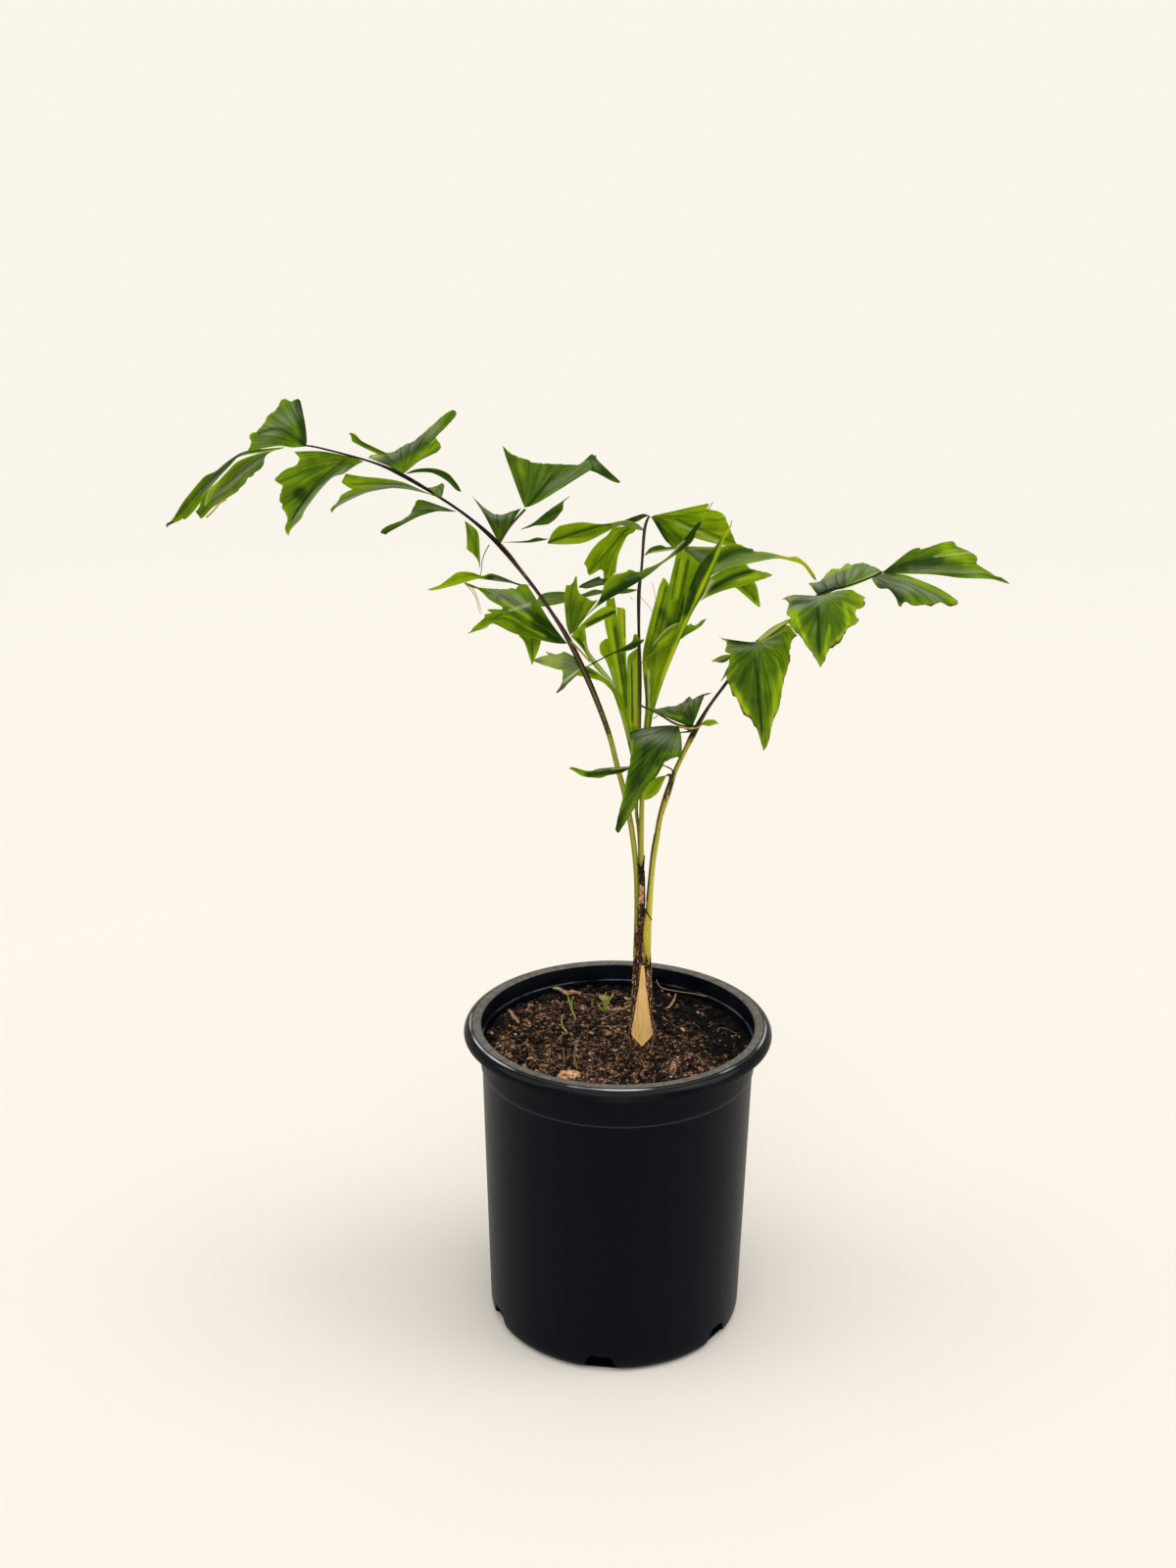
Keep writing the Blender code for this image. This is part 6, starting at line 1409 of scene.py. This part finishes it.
WITHERED = [
    [(-28.5, -42, 206, 0.5), (-29, -41, 213, 0.5), (-30.6, -40, 221, 0.45), (-29.8, -40, 229, 0.4),
     (-29, -40, 233, 0.3)], [(-37.5, -33, 209, 0.4), (-38, -33, 217, 0.4), (-38.5, -32, 224, 0.3)]]


class PALM_OT_sprouts(bpy.types.Operator):
    """Sets the green seedling sprouts in the soil, and the withered one"""
    bl_idname = "palm.sprouts"
    bl_label = "Sprouts"

    def execute(self, context):
        # Young sprouts are smooth and yellow-green, and the withered one is dull straw brown
        green = plain_finish("sprout_skin", linear("#cfdc5c"), linear("#8fa83a"), per_mm(0.9, 0.9, 0.3),
                             roughness=0.5, depth=0.1)
        dry = plain_finish("dry_sprout", linear("#b49a6b"), linear("#7c6242"), per_mm(0.9, 0.9, 0.3))
        for node, name, stems in SPROUTS:
            self.stand(name, stems, green, "young_green", node)
        self.stand("withered_sprout", WITHERED, dry, "straw", "stalk_dry")
        return {"FINISHED"}

    def stand(self, name, stems, finish, slot, node):
        """One sprout of one or more slightly knobbly stems."""
        settle(join(name, [tube(stem, 12, 8, rough=0.06, seed=len(stems)) for stem in stems]), finish, (node,))


# What lies on the soil: (x, y, height over the soil, radius)
STRAWS = {
    "straw_back": [(-48, 77, 7, 0.9), (-38, 76, 5.6, 1.6), (-27, 75, 2, 1.1)],
    "stick_left": [(-80, 43, 5, 1.0), (-75.5, 31, 4.5, 1.2), (-72, 22, 4, 0.9)],
    "root_right": [(34, 56, 0.5, 0.9), (38, 57, 1.5, 0.8), (43, 61, 4.5, 0.8), (44.5, 63, 8, 0.5)],
}
# Dry scraps: place, length, half width and heading in radians
SCRAPS = [((-22, 70), 5, 1.7, 0.7), ((-7, 53), 7, 1.6, 2.1), ((11, 54), 6, 1.8, 0.2), ((-19, 12), 5, 1.3, 1.0),
          ((9, 68), 8, 1.1, 2.4), ((-55, 40), 5, 1.5, 0.4), ((48, 18), 5, 1.4, 1.9), ((-62, -30), 6, 1.3, 0.9)]
CLOD_MIDDLE, CLOD_HALF = (-34, -56, 213.6), (8, 5, 4.2)


class PALM_OT_litter(bpy.types.Operator):
    """Lays the dry straw, sticks, root ends, leaf scraps and the clod of bark on the soil"""
    bl_idname = "palm.litter"
    bl_label = "Litter"

    def execute(self, context):
        # Dry straw: pale, with brown blotches
        straw = plain_finish("dry_straw", context.scene.palm_stalk.straw, linear("#5c4029"), per_mm(0.5, 0.9, 0.9))
        for node, points in STRAWS.items():
            route = [(x, y, float(soil_height(x, y)) + lift, radius) for x, y, lift, radius in catmull(points, 2)]
            bar = tube(route, 12, 6, rough=0.12, seed=len(node))
            settle(join("lying_" + node, [bar]), straw, (node,))
        self.scraps(straw)
        self.clod()
        return {"FINISHED"}

    def scraps(self, straw):
        """Small dry leaf scraps, curled, each a sheet with its own thickness."""
        scraps = []
        for (x, y), reach, half, heading in SCRAPS:
            u, v = np.linspace(-1, 1, 11)[:, None], np.linspace(-1, 1, 7)[None, :]
            along, aside = u * reach / 2, v * half * np.sqrt(1.02 - u ** 2) * (1 + 0.2 * np.sin(5 * u))
            px = x + along * math.cos(heading) - aside * math.sin(heading)
            py = y + along * math.sin(heading) + aside * math.cos(heading)
            pz = soil_height(px, py) + 1.2 + 0.5 * v ** 2 + 0.5 * u ** 2
            scraps.append(shaped_grid("scrap", np.stack([px, py, pz], axis=-1)))
        made = join("leaf_scraps", scraps)
        apply(made, "SOLIDIFY", thickness=0.4 * MM, offset=0.0)
        settle(made, straw)

    def clod(self):
        """Clod of bark: a lump broken up by two sizes of noise."""
        deselect()
        bpy.ops.mesh.primitive_ico_sphere_add(subdivisions=5, radius=1)
        clod = bpy.context.view_layer.objects.active
        for corner in clod.data.vertices:
            where = corner.co.copy()
            rough = 1 + 0.1 * math.sin(5 * where.x + 3 * where.y) * math.cos(4 * where.z + 1)
            rough += 0.16 * noise.noise(where * 3.1) + 0.08 * noise.noise(where * 8) - 0.02
            corner.co = Vector([a + b * c * rough for a, b, c in zip(CLOD_MIDDLE, CLOD_HALF, where)]) * MM
        clod.name = clod.data.name = "clod_of_bark"
        # Composted bark: rust orange, dull and coarse
        rust = plain_finish("composted_bark", linear("#efbb8c"), linear("#80502f"), per_mm(0.45, 0.45, 0.6),
                            roughness=0.95, depth=0.8)
        settle(clod, rust, ("bark_clod",))


# The floor's radius in metres, and where it fades out
FLOOR_RADIUS, FLOOR_FADE = 3.2, (0.9, 3.1)
# Wide suns stand for big softboxes: they light the whole floor alike and leave broad soft shadows.
# Each has its setting's name, the direction that it comes from and its spread in degrees.
SUNS = [("key", (1.0, -0.1, 0.95), 40), ("front", (-0.15, -1.0, 0.4), 60), ("fill", (-1.0, -0.1, 0.9), 40),
        ("top", (0.1, -0.5, 1.95), 70)]
# The photograph's camera, and how far it looks down and is turned about its axis, in radians
CAMERA_PLACE, CAMERA_PITCH, CAMERA_ROLL = (-22.6, -1177.9, 796.7), 0.3191, 0.0076


class PALM_OT_stage(bpy.types.Operator):
    """Sets the pale floor, the soft lights and the camera"""
    bl_idname = "palm.stage"
    bl_label = "Stage"

    def execute(self, context):
        scene, stage = context.scene, context.scene.palm_stage
        scene.view_settings.view_transform = "Standard"
        deselect()
        bpy.ops.mesh.primitive_circle_add(vertices=96, radius=FLOOR_RADIUS, fill_type="NGON", location=(0, 0, 0))
        floor = context.view_layer.objects.active
        floor.name = "floor"
        floor.data.materials.append(self.sweep(stage))

        world = bpy.data.worlds.new("studio")
        scene.world = world
        world.use_nodes = True
        tree = world.node_tree
        seen = add(tree, "LightPath", output="Is Camera Ray")
        around = add(tree, "Background", (stage.backdrop, stage.ambient))
        behind = add(tree, "Background", (stage.backdrop, 1.0))
        both = add(tree, "MixShader", (seen, around, behind))
        tree.links.new(both, tree.nodes["World Output"].inputs["Surface"])

        for name, direction, spread in SUNS:
            bpy.ops.object.light_add(type="SUN", location=Vector(direction) * 1.5)
            light = context.view_layer.objects.active
            light.name = name + "_light"
            light.data.energy = getattr(stage, name)
            light.data.angle = math.radians(spread)
            light.rotation_euler = Vector(direction).to_track_quat("Z", "Y").to_euler()

        bpy.ops.object.camera_add()
        camera = context.view_layer.objects.active
        camera.data.lens = stage.lens
        camera.data.sensor_width = 36
        tilt = Matrix.Rotation(math.pi / 2 - CAMERA_PITCH, 4, "X") @ Matrix.Rotation(CAMERA_ROLL, 4, "Z")
        camera.matrix_world = Matrix.Translation(Vector(CAMERA_PLACE) * MM) @ tilt
        scene.camera = camera
        return {"FINISHED"}

    def sweep(self, stage):
        """Matt paper of the studio's sweep, which fades into the backdrop."""
        made, tree, place = finish_of("paper_sweep", {
            "Base Color": (*stage.floor, 1), "Roughness": 0.9, "Specular IOR Level": 0.1})
        away = add(tree, "VectorMath", (place,), "Value", operation="LENGTH")
        return fed(made, {"Alpha": add(tree, "MapRange", (away, *FLOOR_FADE, 1.0, 0.0))})


class PALM_PT_panel(bpy.types.Panel):
    """Lists the palm's pieces and their settings"""
    bl_idname = "PALM_PT_panel"
    bl_label = "Potted palm"
    bl_space_type = "VIEW_3D"
    bl_region_type = "UI"
    bl_category = "Palm"

    def draw(self, context):
        for name in SETTINGS:
            group = getattr(context.scene, name)
            box = self.layout.box()
            for key in group.bl_rna.properties.keys():
                if key not in ("rna_type", "name"):
                    box.prop(group, key)
        for piece in PIECES:
            self.layout.operator(piece.bl_idname)


SETTINGS = {
    "palm_pot": PalmPotSettings, "palm_soil": PalmSoilSettings, "palm_leaf": PalmLeafSettings,
    "palm_stalk": PalmStalkSettings, "palm_stage": PalmStageSettings}
PIECES = (
    PALM_OT_nursery_pot, PALM_OT_potting_soil, PALM_OT_stem, PALM_OT_dry_sheath, PALM_OT_left_frond,
    PALM_OT_right_frond, PALM_OT_middle_frond, PALM_OT_young_frond, PALM_OT_sprouts, PALM_OT_litter,
    PALM_OT_stage)


def register():
    for kind in (*SETTINGS.values(), *PIECES, PALM_PT_panel):
        bpy.utils.register_class(kind)
    for name, kind in SETTINGS.items():
        setattr(bpy.types.Scene, name, bpy.props.PointerProperty(type=kind))


def unregister():
    for name in SETTINGS:
        delattr(bpy.types.Scene, name)
    for kind in reversed((*SETTINGS.values(), *PIECES, PALM_PT_panel)):
        bpy.utils.unregister_class(kind)


def main():
    register()
    for piece in PIECES:
        group, name = piece.bl_idname.split(".")
        getattr(getattr(bpy.ops, group), name)()


if __name__ == "__main__":
    main()
